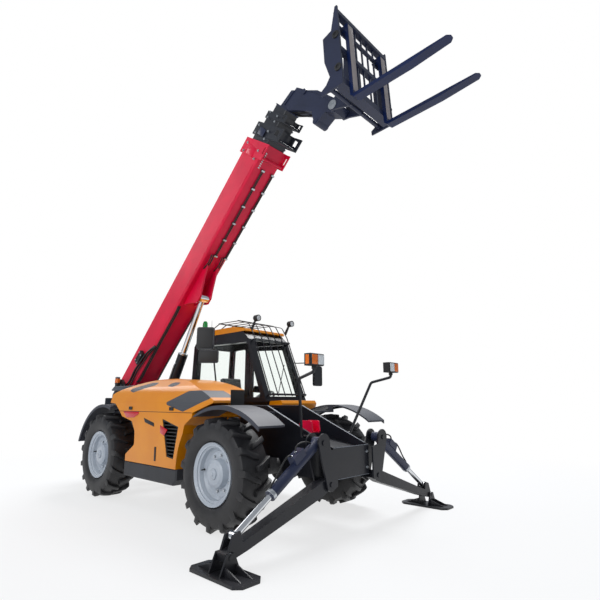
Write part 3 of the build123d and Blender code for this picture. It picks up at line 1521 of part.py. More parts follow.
for side, hand in ((-1, "right"), (1, "left")):
    root = Vector(stab_row_x, side * leg_y, leg_z)
    foot = Vector(stab_row_x, side * foot_y, foot_z)
    top = Vector(stab_row_x, side * ram_top_y, ram_top_z)
    eye = Vector(stab_row_x, side * ram_eye_y, ram_eye_z)
    leg_dir = (foot - root).normalized()
    ram_dir = (eye - top).normalized()
    leg_up = Vector(0, -leg_dir.Z * side, leg_dir.Y * side)
    with BuildPart() as leg:
        leg_plane = Plane(origin=root, x_dir=leg_dir, z_dir=leg_dir.cross(leg_up))
        reach = (foot - root).length
        eye_u = (eye - root).dot(leg_dir)
        eye_w = (eye - root).dot(leg_up)
        with BuildSketch(leg_plane):
            Polygon(
                (-45, -45), (-45, 45), (120, 70), (eye_u - 200, 42), (reach + 35, 38),
                (reach + 35, -35), (reach - 200, -50), (120, -70), align=None,
            )
        extrude(amount=leg_half, both=True)
        # ears for the ram's eye
        for shift in (-1, 1):
            with BuildSketch(leg_plane.offset(shift * (leg_half - ear_plate / 2))):
                Polygon(
                    (eye_u - 40, 30), (eye_u - 40, eye_w + 45), (eye_u + 45, eye_w + 45),
                    (eye_u + 130, 30), align=None,
                )
            extrude(amount=ear_plate / 2, both=True)
        with BuildSketch(leg_plane):
            Circle(hinge_pin)
            with Locations((reach, 0)):
                Circle(foot_pin + pin_gap)
        extrude(amount=leg_half + 5, both=True, mode=Mode.SUBTRACT)
    save(leg, f"stabiliser_leg_{hand}")
    with BuildPart() as barrel:
        with BuildSketch(Plane(origin=top, z_dir=ram_dir)):
            Circle(ram_radius)
        extrude(amount=ram_barrel)
        with BuildSketch(end_plane(stab_row_x)):
            with Locations((top.Y, top.Z)):
                Circle(ram_radius + 4)
        extrude(amount=45, both=True)
        with BuildSketch(end_plane(stab_row_x)):
            with Locations((top.Y, top.Z)):
                Circle(hinge_pin)
        extrude(amount=ram_radius + 10, both=True, mode=Mode.SUBTRACT)
        with BuildSketch(Plane(origin=top + ram_dir * (ram_radius + 25), z_dir=ram_dir)):
            Circle(ram_rod_radius + face_gap)
        extrude(amount=ram_barrel, mode=Mode.SUBTRACT)
        # lock valve on the barrel's outer side
        ram_up = Vector(0, -ram_dir.Z * side, ram_dir.Y * side)
        valve = Plane(origin=top + ram_dir * 250, x_dir=(1, 0, 0), z_dir=ram_dir)
        reach_up = ram_up.dot(valve.y_dir)
        with BuildSketch(valve):
            with Locations((0, reach_up * (ram_radius + 22))):
                Rectangle(96, 84)
        extrude(amount=170)
    save(barrel, f"stabiliser_barrel_{hand}")
    with BuildPart() as rod:
        with BuildSketch(Plane(origin=eye, z_dir=-ram_dir)):
            Circle(ram_rod_radius)
        extrude(amount=ram_closed - ram_radius - 35)
        with BuildSketch(end_plane(stab_row_x)):
            with Locations((eye.Y, eye.Z)):
                Circle(ram_eye_radius)
        extrude(amount=ram_eye_half, both=True)
    save(rod, f"stabiliser_rod_{hand}")
    with BuildPart() as pad:
        with BuildSketch(Plane(origin=(stab_row_x, side * foot_y, 0))):
            Rectangle(pad_length, pad_width)
            chamfer(vertices(), 60)
        extrude(amount=pad_thick)
        lug_x = leg_half + clear + 8
        for x in (stab_row_x - lug_x, stab_row_x + lug_x):
            with BuildSketch(end_plane(x)):
                with Locations((side * foot_y, 0)):
                    Polygon((-110, pad_thick), (-40, foot_z + 30), (40, foot_z + 30), (110, pad_thick),
                            align=None)
            extrude(amount=8, both=True)
        with BuildSketch(end_plane(stab_row_x)):
            with Locations((side * foot_y, foot_z)):
                Circle(foot_pin)
        extrude(amount=lug_x + 14, both=True)
        # gussets that brace the lugs along the pad
        for shift in (-60, 60):
            for way in (-1, 1):
                with BuildSketch(side_plane(side * foot_y + shift)):
                    Polygon(
                        (stab_row_x + way * (lug_x + 7), pad_thick),
                        (stab_row_x + way * (lug_x + 7), pad_thick + 70),
                        (stab_row_x + way * (pad_length / 2 - 60), pad_thick),
                        align=None,
                    )
                extrude(amount=6, both=True)
    save(pad, f"stabiliser_pad_{hand}")
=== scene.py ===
"""Looks of the telehandler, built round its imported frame."""

import json
from math import cos, pi, radians, sin

import bpy
from mathutils import Matrix, Vector


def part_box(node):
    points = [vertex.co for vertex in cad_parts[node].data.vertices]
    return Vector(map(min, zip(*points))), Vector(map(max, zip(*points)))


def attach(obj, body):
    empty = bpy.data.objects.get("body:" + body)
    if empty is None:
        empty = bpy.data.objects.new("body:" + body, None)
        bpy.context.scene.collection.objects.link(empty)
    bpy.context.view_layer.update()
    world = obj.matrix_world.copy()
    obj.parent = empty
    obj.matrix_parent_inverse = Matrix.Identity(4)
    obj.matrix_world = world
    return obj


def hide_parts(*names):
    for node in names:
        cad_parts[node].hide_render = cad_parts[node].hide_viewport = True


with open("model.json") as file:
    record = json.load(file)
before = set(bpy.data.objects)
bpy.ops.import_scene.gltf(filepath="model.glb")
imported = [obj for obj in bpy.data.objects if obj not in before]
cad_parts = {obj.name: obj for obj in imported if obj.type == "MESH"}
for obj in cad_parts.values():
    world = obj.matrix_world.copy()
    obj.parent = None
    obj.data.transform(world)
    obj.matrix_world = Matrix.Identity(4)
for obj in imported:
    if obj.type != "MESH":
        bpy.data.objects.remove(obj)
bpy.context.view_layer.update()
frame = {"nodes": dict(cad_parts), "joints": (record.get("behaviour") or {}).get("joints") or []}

# ---------------------------------------------------------------- places, from the frame
joint_at = {joint["name"]: Vector(joint["pos_m"]) for joint in frame["joints"] if "pos_m" in joint}
joint_axis = {joint["name"]: Vector(joint["axis"]) for joint in frame["joints"] if "axis" in joint}
front_x = joint_at["wheel_front_right_spin"].x
rear_x = joint_at["wheel_rear_right_spin"].x
boom_pivot = joint_at["boom_lift"]
tilt_pivot = joint_at["fork_tilt"]
boom_angle = radians(45)  # above level, at rest
boom_dir = Vector((cos(boom_angle), 0, sin(boom_angle)))
boom_up = Vector((-sin(boom_angle), 0, cos(boom_angle)))
fork_angle = radians(3.3)  # the forks' own tilt at rest
fork_dir = Vector((cos(fork_angle), 0, sin(fork_angle)))
fork_up = Vector((-sin(fork_angle), 0, cos(fork_angle)))
heel = tilt_pivot + fork_dir * 0.547 - fork_up * 0.307  # where a fork's blade meets its shank
left = Vector((0, 1, 0))
right = Vector((0, -1, 0))
up = Vector((0, 0, 1))
forward = Vector((1, 0, 0))
hands = (("right", -1), ("left", 1))


def ahead(distance, y, z):
    """A place that far ahead of the front axle."""
    return Vector((front_x + distance, y, z))


def on_boom(u, y, w):
    """A place along and square to the boom."""
    return boom_pivot + boom_dir * u + boom_up * w + left * y


def on_forks(x, y, z):
    """A place along and square to the forks, from their heels."""
    return heel + fork_dir * x + fork_up * z + left * y


# ---------------------------------------------------------------- materials
def linear(hex_colour):
    """sRGB hex to the linear colour that a node wants."""
    channels = [int(hex_colour[i:i + 2], 16) / 255 for i in (1, 3, 5)]
    return [c / 12.92 if c <= 0.04045 else ((c + 0.055) / 1.055) ** 2.4 for c in channels] + [1.0]


def add_node(tree, kind, settings, links=None):
    """Add a node with its settings, by attribute or socket, and link its inputs."""
    node = tree.nodes.new(kind)
    for key, value in settings.items():
        if isinstance(key, str) and hasattr(node, key):
            setattr(node, key, value)
        else:
            node.inputs[key].default_value = value
    for key, source in (links or {}).items():
        tree.links.new(source, node.inputs[key])
    return node


def new_material(name, colour, roughness, metallic=0.0, **shader_values):
    """A material whose shader has these values; returns it with its tree and shader."""
    material = bpy.data.materials.new(name)
    material.use_nodes = True
    shader = material.node_tree.nodes["Principled BSDF"]
    shader.inputs["Base Color"].default_value = linear(colour)
    shader.inputs["Roughness"].default_value = roughness
    shader.inputs["Metallic"].default_value = metallic
    for key, value in shader_values.items():
        shader.inputs[key.replace("_", " ")].default_value = value
    return material, material.node_tree, shader


def on_object(tree, kind, settings):
    """A node laid out over the piece's own coordinates, in metres."""
    place = add_node(tree, "ShaderNodeTexCoord", {})
    return add_node(tree, kind, settings, {"Vector": place.outputs["Object"]})


def raised(tree, shader, height, strength, depth):
    """Lift the shader's surface by a height, to a depth in metres."""
    bump = add_node(tree, "ShaderNodeBump", {"Strength": strength, "Distance": depth}, {"Height": height})
    tree.links.new(bump.outputs["Normal"], shader.inputs["Normal"])


def blended(tree, shader, share, colour, other):
    """Colour the shader with one colour that gives way to another by a share."""
    mix = add_node(tree, "ShaderNodeMix", {"data_type": "RGBA", 6: linear(colour), 7: linear(other)},
                   {0: share})
    tree.links.new(mix.outputs[2], shader.inputs["Base Color"])
    return mix


def mottle(tree, shader, colour, other, size_mm, low=0.4, high=0.65, detail=4.0):
    """Drift the base colour towards another over patches of a real size."""
    noise = on_object(tree, "ShaderNodeTexNoise", {"Scale": 1000 / size_mm, "Detail": detail})
    spread = add_node(tree, "ShaderNodeMapRange", {"From Min": low, "From Max": high},
                      {"Value": noise.outputs["Fac"]})
    return blended(tree, shader, spread.outputs["Result"], colour, other)


def grain(tree, shader, size_mm, depth_mm, strength=0.5, kind="ShaderNodeTexNoise"):
    """Raise a fine grain of a real size and depth on the surface."""
    texture = on_object(tree, kind, {"Scale": 1000 / size_mm})
    height = texture.outputs["Fac"] if "Fac" in texture.outputs else texture.outputs["Distance"]
    raised(tree, shader, height, strength, depth_mm / 1000)


def dust(tree, shader, mix, colour, reach, amount):
    """Road dust over the mixed colour, thinning out upwards to a height of reach metres."""
    parts = on_object(tree, "ShaderNodeSeparateXYZ", {})
    fade = add_node(tree, "ShaderNodeMapRange", {"From Min": reach, "From Max": 0.0, "To Max": amount},
                    {"Value": parts.outputs["Z"]})
    blot = on_object(tree, "ShaderNodeTexNoise", {"Scale": 9.0, "Detail": 6.0})
    cover = add_node(tree, "ShaderNodeMath", {"operation": "MULTIPLY"},
                     {0: fade.outputs["Result"], 1: blot.outputs["Fac"]})
    dusty = add_node(tree, "ShaderNodeMix", {"data_type": "RGBA", 7: linear(colour)},
                     {0: cover.outputs["Value"], 6: mix.outputs[2]})
    tree.links.new(dusty.outputs[2], shader.inputs["Base Color"])


road_dust = "#8c8478"


def sprayed_steel(name, colour, shade, roughness, coat, dusty=0.0):
    """A sprayed coat: an even gloss over a faint orange peel, its tone drifting a little.

    Orange peel is about 2 mm across; it is drawn at 6 mm so that it shows.
    """
    material, tree, shader = new_material(
        name, colour, roughness, Coat_Weight=coat, Coat_Roughness=0.12, Specular_IOR_Level=0.3
    )
    mix = mottle(tree, shader, colour, shade, 420, 0.35, 0.75)
    grain(tree, shader, 6, 0.06, 0.25)
    if dusty:
        dust(tree, shader, mix, road_dust, 1.1, dusty)
    return material


boom_enamel = sprayed_steel("crimson_enamel_on_rolled_steel", "#e2003c", "#cc0036", 0.42, 0.15)
frame_enamel = sprayed_steel("black_enamel_on_welded_steel", "#12141b", "#1a1c25", 0.4, 0.15, 0.06)
slate_enamel = sprayed_steel("slate_enamel_on_welded_steel", "#29304a", "#20263b", 0.4, 0.15)
fork_enamel = sprayed_steel("navy_enamel_on_forged_forks", "#061d4c", "#05163c", 0.38, 0.15)
section_enamel = sprayed_steel("dark_enamel_on_rolled_steel", "#1d2028", "#262a34", 0.4, 0.3)
rim_enamel = sprayed_steel("silver_enamel_on_pressed_rims", "#b9c1ca", "#a9b1bc", 0.36, 0.25, 0.12)
weight_enamel = sprayed_steel("grey_enamel_on_cast_weight", "#4a4f59", "#40444d", 0.5, 0.1, 0.2)


def moulded_sheet(name, colour, shade, roughness, grain_mm, coat=0.0, dusty=0.0):
    """Moulded plastic with a leather grain from its mould, softer in gloss than paint."""
    material, tree, shader = new_material(name, colour, roughness, Coat_Weight=coat, Coat_Roughness=0.2)
    mix = mottle(tree, shader, colour, shade, 260, 0.35, 0.7)
    grain(tree, shader, grain_mm, 0.12, 0.3, "ShaderNodeTexVoronoi")
    if dusty:
        dust(tree, shader, mix, road_dust, 1.2, dusty)
    return material


# glass-fibre panels with a gel coat: deep colour and a soft shine
hood_gelcoat = sprayed_steel("amber_gelcoat_on_glass_fibre", "#e28c00", "#d98000", 0.34, 0.3, 0.03)
# vacuum-formed polyethylene: matt, grained and a little dusty
fender_plastic = moulded_sheet("slate_polyethylene_fenders", "#3b3e48", "#333640", 0.55, 5, 0.0, 0.12)
skirt_plastic = moulded_sheet("charcoal_polyethylene_skirt", "#2c2f36", "#25282e", 0.6, 5, 0.0, 0.12)
trim_plastic = moulded_sheet("black_polypropylene_trim", "#17181a", "#1e1f22", 0.55, 4)
cab_plastic = moulded_sheet("grey_moulded_cab_trim", "#7d8487", "#717779", 0.6, 4)
screen_plastic = moulded_sheet("glossy_display_screen", "#10151b", "#141b22", 0.15, 30, 0.6)
tank_plastic = moulded_sheet("black_rotomoulded_tank", "#1b1c1f", "#232428", 0.6, 7, 0.0, 0.15)


def vulcanised_rubber():
    """Vulcanised tyre rubber: dull black with a dry bloom and road dust low down."""
    material, tree, shader = new_material("vulcanised_tyre_rubber", "#17171a", 0.5)
    mix = mottle(tree, shader, "#16161a", "#202024", 90, 0.35, 0.7, 8.0)
    grain(tree, shader, 9, 0.5, 0.35)
    dust(tree, shader, mix, "#5c584f", 1.3, 0.14)
    return material


def hard_chrome():
    """Ground and hard-chromed rod: a bright mirror, just unsettled by fine grinding."""
    material, tree, shader = new_material("hard_chromed_rod", "#d9dbde", 0.1, 1.0)
    grain(tree, shader, 14, 0.02, 0.15)
    return material


def cast_iron(name, colour):
    """Sand-cast iron under black primer: a coarse skin that breaks up the light."""
    material, tree, shader = new_material(name, colour, 0.62)
    mix = mottle(tree, shader, colour, "#3a3a3d", 60, 0.4, 0.75, 6.0)
    grain(tree, shader, 7, 0.8, 0.45)
    dust(tree, shader, mix, road_dust, 1.0, 0.12)
    return material


def clear_pane(name, colour):
    """Float glass: clear, thin and a little green; it hardly bends what lies behind it."""
    return new_material(name, colour, 0.0, Transmission_Weight=1.0, IOR=1.1)[0]


def ribbed_lens(name, colour, rib_mm, transmission=0.35):
    """Moulded acrylic lens: saturated colour with prism ribs that catch the light."""
    material, tree, shader = new_material(
        name, colour, 0.2, Transmission_Weight=transmission, IOR=1.49, Coat_Weight=0.2
    )
    ribs = on_object(tree, "ShaderNodeTexWave", {"Scale": 1000 / rib_mm / 20, "bands_direction": "Z"})
    raised(tree, shader, ribs.outputs["Fac"], 0.25, 0.001)
    return material


def zinc_plate():
    """Zinc-plated fittings: pale satin metal with a faint cloud in it."""
    material, tree, shader = new_material("zinc_plated_fittings", "#c8ccd0", 0.32, 1.0)
    mottle(tree, shader, "#c8ccd0", "#a9aeb4", 25)
    return material


def braided_hose():
    """Wrapped hydraulic hose: black rubber with the fine print of its wrapping."""
    material, tree, shader = new_material("wrapped_hydraulic_hose", "#151517", 0.5)
    grain(tree, shader, 4, 0.3, 0.4)
    return material


def perforated_sheet():
    """Perforated steel sheet over the cooler: round holes on a 14 mm pitch."""
    material, tree, shader = new_material("perforated_cooler_sheet", "#3d4047", 0.5)
    flat = on_object(tree, "ShaderNodeMapping", {"Scale": (1.0, 0.0, 1.3)})
    cells = add_node(tree, "ShaderNodeTexVoronoi", {"Scale": 1000 / 14, "Randomness": 0.0},
                     {"Vector": flat.outputs["Vector"]})
    hole = add_node(tree, "ShaderNodeMapRange", {"From Min": 0.26, "From Max": 0.34},
                    {"Value": cells.outputs["Distance"]})
    blended(tree, shader, hole.outputs["Result"], "#0c0c0e", "#4d5159")
    raised(tree, shader, hole.outputs["Result"], 0.5, 0.002)
    return material


def woven_seat_cloth():
    """Woven seat cloth: crossing yarns on a 3 mm pitch, drawn at 5 mm, with a soft sheen."""
    material, tree, shader = new_material("woven_seat_cloth", "#43484b", 0.9, Sheen_Weight=0.3)
    weft, warp = [
        on_object(tree, "ShaderNodeTexWave", {"Scale": 1000 / 5 / 20, "bands_direction": way}) for way in "XY"
    ]
    weave = add_node(tree, "ShaderNodeMath", {"operation": "MULTIPLY"},
                     {0: weft.outputs["Fac"], 1: warp.outputs["Fac"]})
    blended(tree, shader, weave.outputs["Value"], "#34383a", "#5a6063")
    raised(tree, shader, weave.outputs["Value"], 0.6, 0.0015)
    return material


def studio_floor():
    """Matt white studio floor that runs out to plain white and keeps a soft shadow."""
    material, tree, shader = new_material("matt_white_studio_floor", "#d3d5d8", 0.9)
    shader.inputs["Specular IOR Level"].default_value = 0.1
    place = add_node(tree, "ShaderNodeTexCoord", {})
    reach = add_node(tree, "ShaderNodeVectorMath", {"operation": "LENGTH"}, {0: place.outputs["Object"]})
    fade = add_node(tree, "ShaderNodeMapRange", {
        "interpolation_type": "SMOOTHSTEP",
        "From Min": 5.0, "From Max": 10.0, "To Min": 0.72, "To Max": 1.0,
    }, {"Value": reach.outputs["Value"]})
    rays = add_node(tree, "ShaderNodeLightPath", {})
    seen = add_node(tree, "ShaderNodeMath", {"operation": "MAXIMUM"},
                    {0: rays.outputs["Is Camera Ray"], 1: rays.outputs["Is Glossy Ray"]})
    seen_too = add_node(tree, "ShaderNodeMath", {"operation": "MAXIMUM"},
                        {0: seen.outputs["Value"], 1: rays.outputs["Is Transmission Ray"]})
    share = add_node(tree, "ShaderNodeMath", {"operation": "MULTIPLY"},
                     {0: seen_too.outputs["Value"], 1: fade.outputs["Result"]})
    plain = add_node(tree, "ShaderNodeEmission", {"Color": (1, 1, 1, 1), "Strength": 1.0})
    mix = add_node(tree, "ShaderNodeMixShader", {}, {
        0: share.outputs["Value"], 1: shader.outputs["BSDF"], 2: plain.outputs["Emission"]})
    tree.links.new(mix.outputs["Shader"], tree.nodes["Material Output"].inputs["Surface"])
    return material


tyre_rubber = vulcanised_rubber()
rod_chrome = hard_chrome()
axle_iron = cast_iron("primed_cast_iron_axles", "#1f2023")
engine_iron = cast_iron("grey_cast_iron_engine", "#35373b")
window_glass = clear_pane("green_tinted_cab_glass", "#fafdfb")
# the less a lens lets through, the deeper its own colour shows
amber_lens = ribbed_lens("amber_acrylic_lens", "#ee7408", 9, 0.1)
red_lens = ribbed_lens("red_acrylic_lens", "#c40a22", 9, 0.05)
green_lens = ribbed_lens("green_acrylic_beacon", "#17a34a", 12)
pearl_lens = ribbed_lens("clear_acrylic_headlamp", "#eef2f4", 7, 0.25)
# a bright mirror bowl behind the headlamp's lens, and the mirrors' own silvering
reflector = new_material("vacuum_coated_reflector", "#e6e8ea", 0.15, 1.0)[0]
mirror_silver = new_material("silvered_mirror_glass", "#cfd6da", 0.03, 1.0)[0]
zinc = zinc_plate()
hose_rubber = braided_hose()
vent_sheet = perforated_sheet()
seat_cloth = woven_seat_cloth()
# bare steel that loads and boots have rubbed on the fork shanks: dull and light, with no coat
shank_steel = sprayed_steel("scuffed_steel_on_fork_shanks", "#aaa2a0", "#8d8684", 0.55, 0.0)
# pale grey painted along plate and bar edges as the bright lines of light on them: painted highlights
edge_highlight_paint = sprayed_steel("pale_painted_edge_highlights", "#868a92", "#6c7077", 0.55, 0.0)

# finish of each CAD node, by the start of its name
finishes = {
    "tyre": tyre_rubber, "rim": rim_enamel, "knuckle": axle_iron, "axle": axle_iron,
    "boom_base": boom_enamel, "boom_rest": boom_enamel, "boom_lines": trim_plastic,
    "boom_mid": section_enamel, "boom_inner": section_enamel, "boom_head": slate_enamel,
    "hood_vents": vent_sheet, "hood": hood_gelcoat, "cowl": hood_gelcoat, "cab_roof": hood_gelcoat,
    "side_grille": trim_plastic, "side_skirt": skirt_plastic, "engine": engine_iron,
    "cab_glass": window_glass, "door_glass": window_glass, "seat_base": trim_plastic,
    "seat": seat_cloth, "dashboard": cab_plastic, "fenders": fender_plastic,
    "fuel_tank": tank_plastic, "counterweight": weight_enamel, "coupler": slate_enamel,
    "carriage": slate_enamel, "fork": fork_enamel, "lift_cylinder_rod": rod_chrome,
    "stabiliser_rod": rod_chrome, "stabiliser_barrel": slate_enamel, "head_lamps": trim_plastic,
}
for name, cad_piece in frame["nodes"].items():
    starts = [start for start in finishes if name.startswith(start)]
    cad_piece.data.materials.clear()
    cad_piece.data.materials.append(finishes[max(starts, key=len)] if starts else frame_enamel)
# the end face of the hood's lid beside the cab is black
lid_end_y = -0.7
lid_mesh = frame["nodes"]["hood_lid"].data
lid_mesh.materials.append(trim_plastic)
for face in lid_mesh.polygons:
    if face.normal.x > 0.95 and face.center.y > lid_end_y:
        face.material_index = 1


# ---------------------------------------------------------------- ways of modelling
def edit():
    """Open the active piece in edit mode with all of it selected."""
    bpy.ops.object.mode_set(mode="EDIT")
    bpy.ops.mesh.select_all(action="SELECT")


def leave():
    """Merge doubled points, turn the normals outwards and leave edit mode."""
    bpy.ops.mesh.select_all(action="SELECT")
    bpy.ops.mesh.remove_doubles(threshold=0.00005)
    bpy.ops.mesh.normals_make_consistent(inside=False)
    bpy.ops.object.mode_set(mode="OBJECT")


def bevelled(piece, width, segments=2):
    """Round a piece's edges over and apply that."""
    modifier = piece.modifiers.new("edges", "BEVEL")
    modifier.width = width
    modifier.segments = segments
    modifier.limit_method = "ANGLE"
    bpy.context.view_layer.objects.active = piece
    bpy.ops.object.modifier_apply(modifier=modifier.name)
    return piece


def turned(rows, steps=32):
    """A round piece along +Z from rows of height and radius, extruded ring by ring."""
    bpy.ops.object.select_all(action="DESELECT")
    height, radius = rows[0]
    bpy.ops.mesh.primitive_circle_add(vertices=steps, radius=radius, fill_type="NGON")
    piece = bpy.context.object
    edit()
    bpy.ops.transform.translate(value=(0, 0, height))
    for next_height, next_radius in rows[1:]:
        bpy.ops.mesh.extrude_region_move(TRANSFORM_OT_translate={"value": (0, 0, next_height - height)})
        ratio = next_radius / radius
        bpy.ops.transform.resize(value=(ratio, ratio, 1), center_override=(0, 0, next_height))
        height, radius = next_height, next_radius
    leave()
    return piece


def slab(outline, thickness, bevel=0.003, segments=2):
    """A plate in XY from its outline, extruded upwards, with softened edges."""
    bpy.ops.object.select_all(action="DESELECT")
    bpy.ops.mesh.primitive_circle_add(vertices=len(outline), radius=1, fill_type="NGON")
    piece = bpy.context.object
    for vertex, (x, y) in zip(piece.data.vertices, outline):
        vertex.co = (x, y, 0)
    edit()
    bpy.ops.mesh.extrude_region_move(TRANSFORM_OT_translate={"value": (0, 0, thickness)})
    leave()
    return bevelled(piece, bevel, segments) if bevel else piece


def side_slab(corners, y, thick, bevel, segments=2):
    """A plate from side-view corners ahead of the front axle, growing to the right from y."""
    plate = slab([(front_x + x, z) for x, z in corners], thick, bevel, segments)
    plate.data.transform(Matrix.Translation((0, y, 0)) @ Matrix.Rotation(pi / 2, 4, "X"))
    return plate


def block(size, bevel=0.004, segments=2, inset=0.0, sink=0.0):
    """A box about its middle with rounded edges, and its top face let in if asked."""
    bpy.ops.object.select_all(action="DESELECT")
    bpy.ops.mesh.primitive_cube_add(size=1)
    piece = bpy.context.object
    for vertex in piece.data.vertices:
        vertex.co = [a * b for a, b in zip(vertex.co, size)]
    bevelled(piece, bevel, segments)
    if inset:
        bpy.ops.object.mode_set(mode="OBJECT")
        for face in piece.data.polygons:
            face.select = face.normal.z > 0.99
        bpy.ops.object.mode_set(mode="EDIT")
        bpy.ops.mesh.select_mode(type="FACE")
        bpy.ops.mesh.inset(thickness=inset, depth=0)
        bpy.ops.mesh.inset(thickness=inset * 0.3, depth=sink)
        leave()
    return piece


def hose_run(points, radius, resolution=6):
    """A bent tube along a few points, with closed ends."""
    bpy.ops.object.select_all(action="DESELECT")
    curve = bpy.data.curves.new("hose", "CURVE")
    curve.dimensions = "3D"
    curve.bevel_depth = radius
    curve.bevel_resolution = 3
    curve.use_fill_caps = True
    spline = curve.splines.new("NURBS")
    spline.points.add(len(points) - 1)
    for point, place in zip(spline.points, points):
        point.co = (*place, 1)
    spline.order_u = 3
    spline.use_endpoint_u = True
    spline.resolution_u = resolution
    piece = bpy.data.objects.new("hose", curve)
    bpy.context.scene.collection.objects.link(piece)
    piece.select_set(True)
    bpy.context.view_layer.objects.active = piece
    bpy.ops.object.convert(target="MESH")
    return bpy.context.object


def stand(piece, place, axis=up, across=None):
    """Put a piece's own origin at a place and its +Z along an axis, its +X along across."""
    axis = Vector(axis).normalized()
    if across is None:
        turn = axis.to_track_quat("Z", "Y").to_matrix().to_4x4()
    else:
        x_axis = (Vector(across) - axis * Vector(across).dot(axis)).normalized()
        turn = Matrix((x_axis, axis.cross(x_axis), axis)).transposed().to_4x4()
    piece.data.transform(Matrix.Translation(place) @ turn)
    return piece


def copied(piece, shift):
    """A copy with its own mesh, moved by a shift."""
    other = piece.copy()
    other.data = piece.data.copy()
    other.data.transform(Matrix.Translation(shift))
    bpy.context.scene.collection.objects.link(other)
    return other


def mirrored(piece):
    """A copy on the machine's other side."""
    other = copied(piece, (0, 0, 0))
    other.data.transform(Matrix.Scale(-1, 4, left))
    other.data.flip_normals()
    return other


def joined(pieces):
    """The pieces as one, which takes the first one's place."""
    bpy.ops.object.select_all(action="DESELECT")
    for piece in pieces:
        piece.select_set(True)
    bpy.context.view_layer.objects.active = pieces[0]
    bpy.ops.object.join()
    return bpy.context.object


def done(piece, name, material, body, angle=32):
    """Name, shade and dress a finished piece and let it ride on its body."""
    piece.name = name
    piece.data.name = name
    bpy.ops.object.select_all(action="DESELECT")
    piece.select_set(True)
    bpy.context.view_layer.objects.active = piece
    bpy.ops.object.shade_smooth_by_angle(angle=radians(angle))
    piece.data.materials.clear()
    piece.data.materials.append(material)
    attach(piece, body)
    return piece


def hex_bolt(across):
    """A hexagon-headed bolt on its washer, standing on z = 0."""
    bpy.ops.object.select_all(action="DESELECT")
    bpy.ops.mesh.primitive_cylinder_add(
        vertices=6, radius=across * 0.58, depth=across * 0.6, location=(0, 0, across * 0.42)
    )
    head = bpy.context.object
    head.data.transform(head.matrix_world)
    head.matrix_world = Matrix.Identity(4)
    bevelled(head, across * 0.06, 1)
    washer = turned([(0, across * 0.9), (across * 0.12, across * 0.9), (across * 0.13, across * 0.5)], 12)
    return joined([head, washer])


def ring_places(centre, radius, count, first=0.0):
    """Places on a circle about the Y axis through a centre."""
    turns = [first + 2 * pi * step / count for step in range(count)]
    return [Vector(centre) + Vector((radius * cos(a), 0, radius * sin(a))) for a in turns]


def standing_copies(first, places, axis, across=None):
    """Copies of a piece stood at places along one axis, joined; the first is used up."""
    group = [stand(copied(first, (0, 0, 0)), place, axis, across) for place in places]
    bpy.data.objects.remove(first)
    return joined(group)


def bolts(name, places, axis, across, body):
    """Like zinc-plated bolts at listed places, all along one axis, as one piece."""
    return done(standing_copies(hex_bolt(across), places, axis), name, zinc, body)


def strip(start, end, wide, thick, width_dir):
    """A flat bar between two places, its width lying along width_dir."""
    run = end - start
    bar = block((run.length, wide, thick), min(thick, wide) * 0.3, 2)
    normal = run.cross(Vector(width_dir)).normalized()
    return stand(bar, (start + end) / 2, normal, run)


# ---------------------------------------------------------------- camera
camera_data = bpy.data.cameras.new("camera")
camera = bpy.data.objects.new("camera", camera_data)
bpy.context.scene.collection.objects.link(camera)
camera_pitch = 0.225  # radians above level
camera_heading = 2.318  # radians from +X
camera.location = ahead(4.366, -4.419, 1.419)
camera.rotation_euler = (pi / 2 + camera_pitch, 0, camera_heading - pi / 2)
camera_data.sensor_width = 36
camera_data.lens = 26.796
bpy.context.scene.camera = camera
bpy.context.scene.view_settings.view_transform = "Standard"

# ---------------------------------------------------------------- tyres and wheels
wheel_y = 1.0
wheel_z = 0.625
disc_face = 0.0605  # the rim disc's and the hub's faces, outboard of the tyre's middle
hub_face = 0.1505
# half of the tyre's closed section: across, radius
carcass = [
    (0.150, 0.306), (0.153, 0.350), (0.176, 0.364), (0.192, 0.395), (0.198, 0.44), (0.1995, 0.48),
    (0.197, 0.525), (0.180, 0.558), (0.125, 0.577), (0.0, 0.583),
]
# one lug's sections: across, top radius, foot radius, lead round the tyre, half width
lug_sections = [
    (-0.018, 0.6222, 0.570, -0.035, 0.031),
    (0.05, 0.6217, 0.570, -0.012, 0.032),
    (0.11, 0.6195, 0.565, 0.020, 0.033),
    (0.165, 0.613, 0.550, 0.048, 0.036),
    (0.193, 0.596, 0.53, 0.060, 0.038),
    (0.1985, 0.560, 0.49, 0.064, 0.034),
]
lug_count = 15


def tyre_carcass():
    """The tyre without its lugs: its section spun about the axle."""
    section = carcass + [(-across, radius) for across, radius in reversed(carcass[:-1])]
    bpy.ops.object.select_all(action="DESELECT")
    bpy.ops.mesh.primitive_circle_add(vertices=len(section), radius=1, fill_type="NOTHING")
    piece = bpy.context.object
    for vertex, (across, radius) in zip(piece.data.vertices, section):
        vertex.co = (radius, across, 0)
    edit()
    bpy.ops.mesh.spin(steps=96, angle=2 * pi, center=(0, 0, 0), axis=(0, 1, 0))
    leave()
    return piece


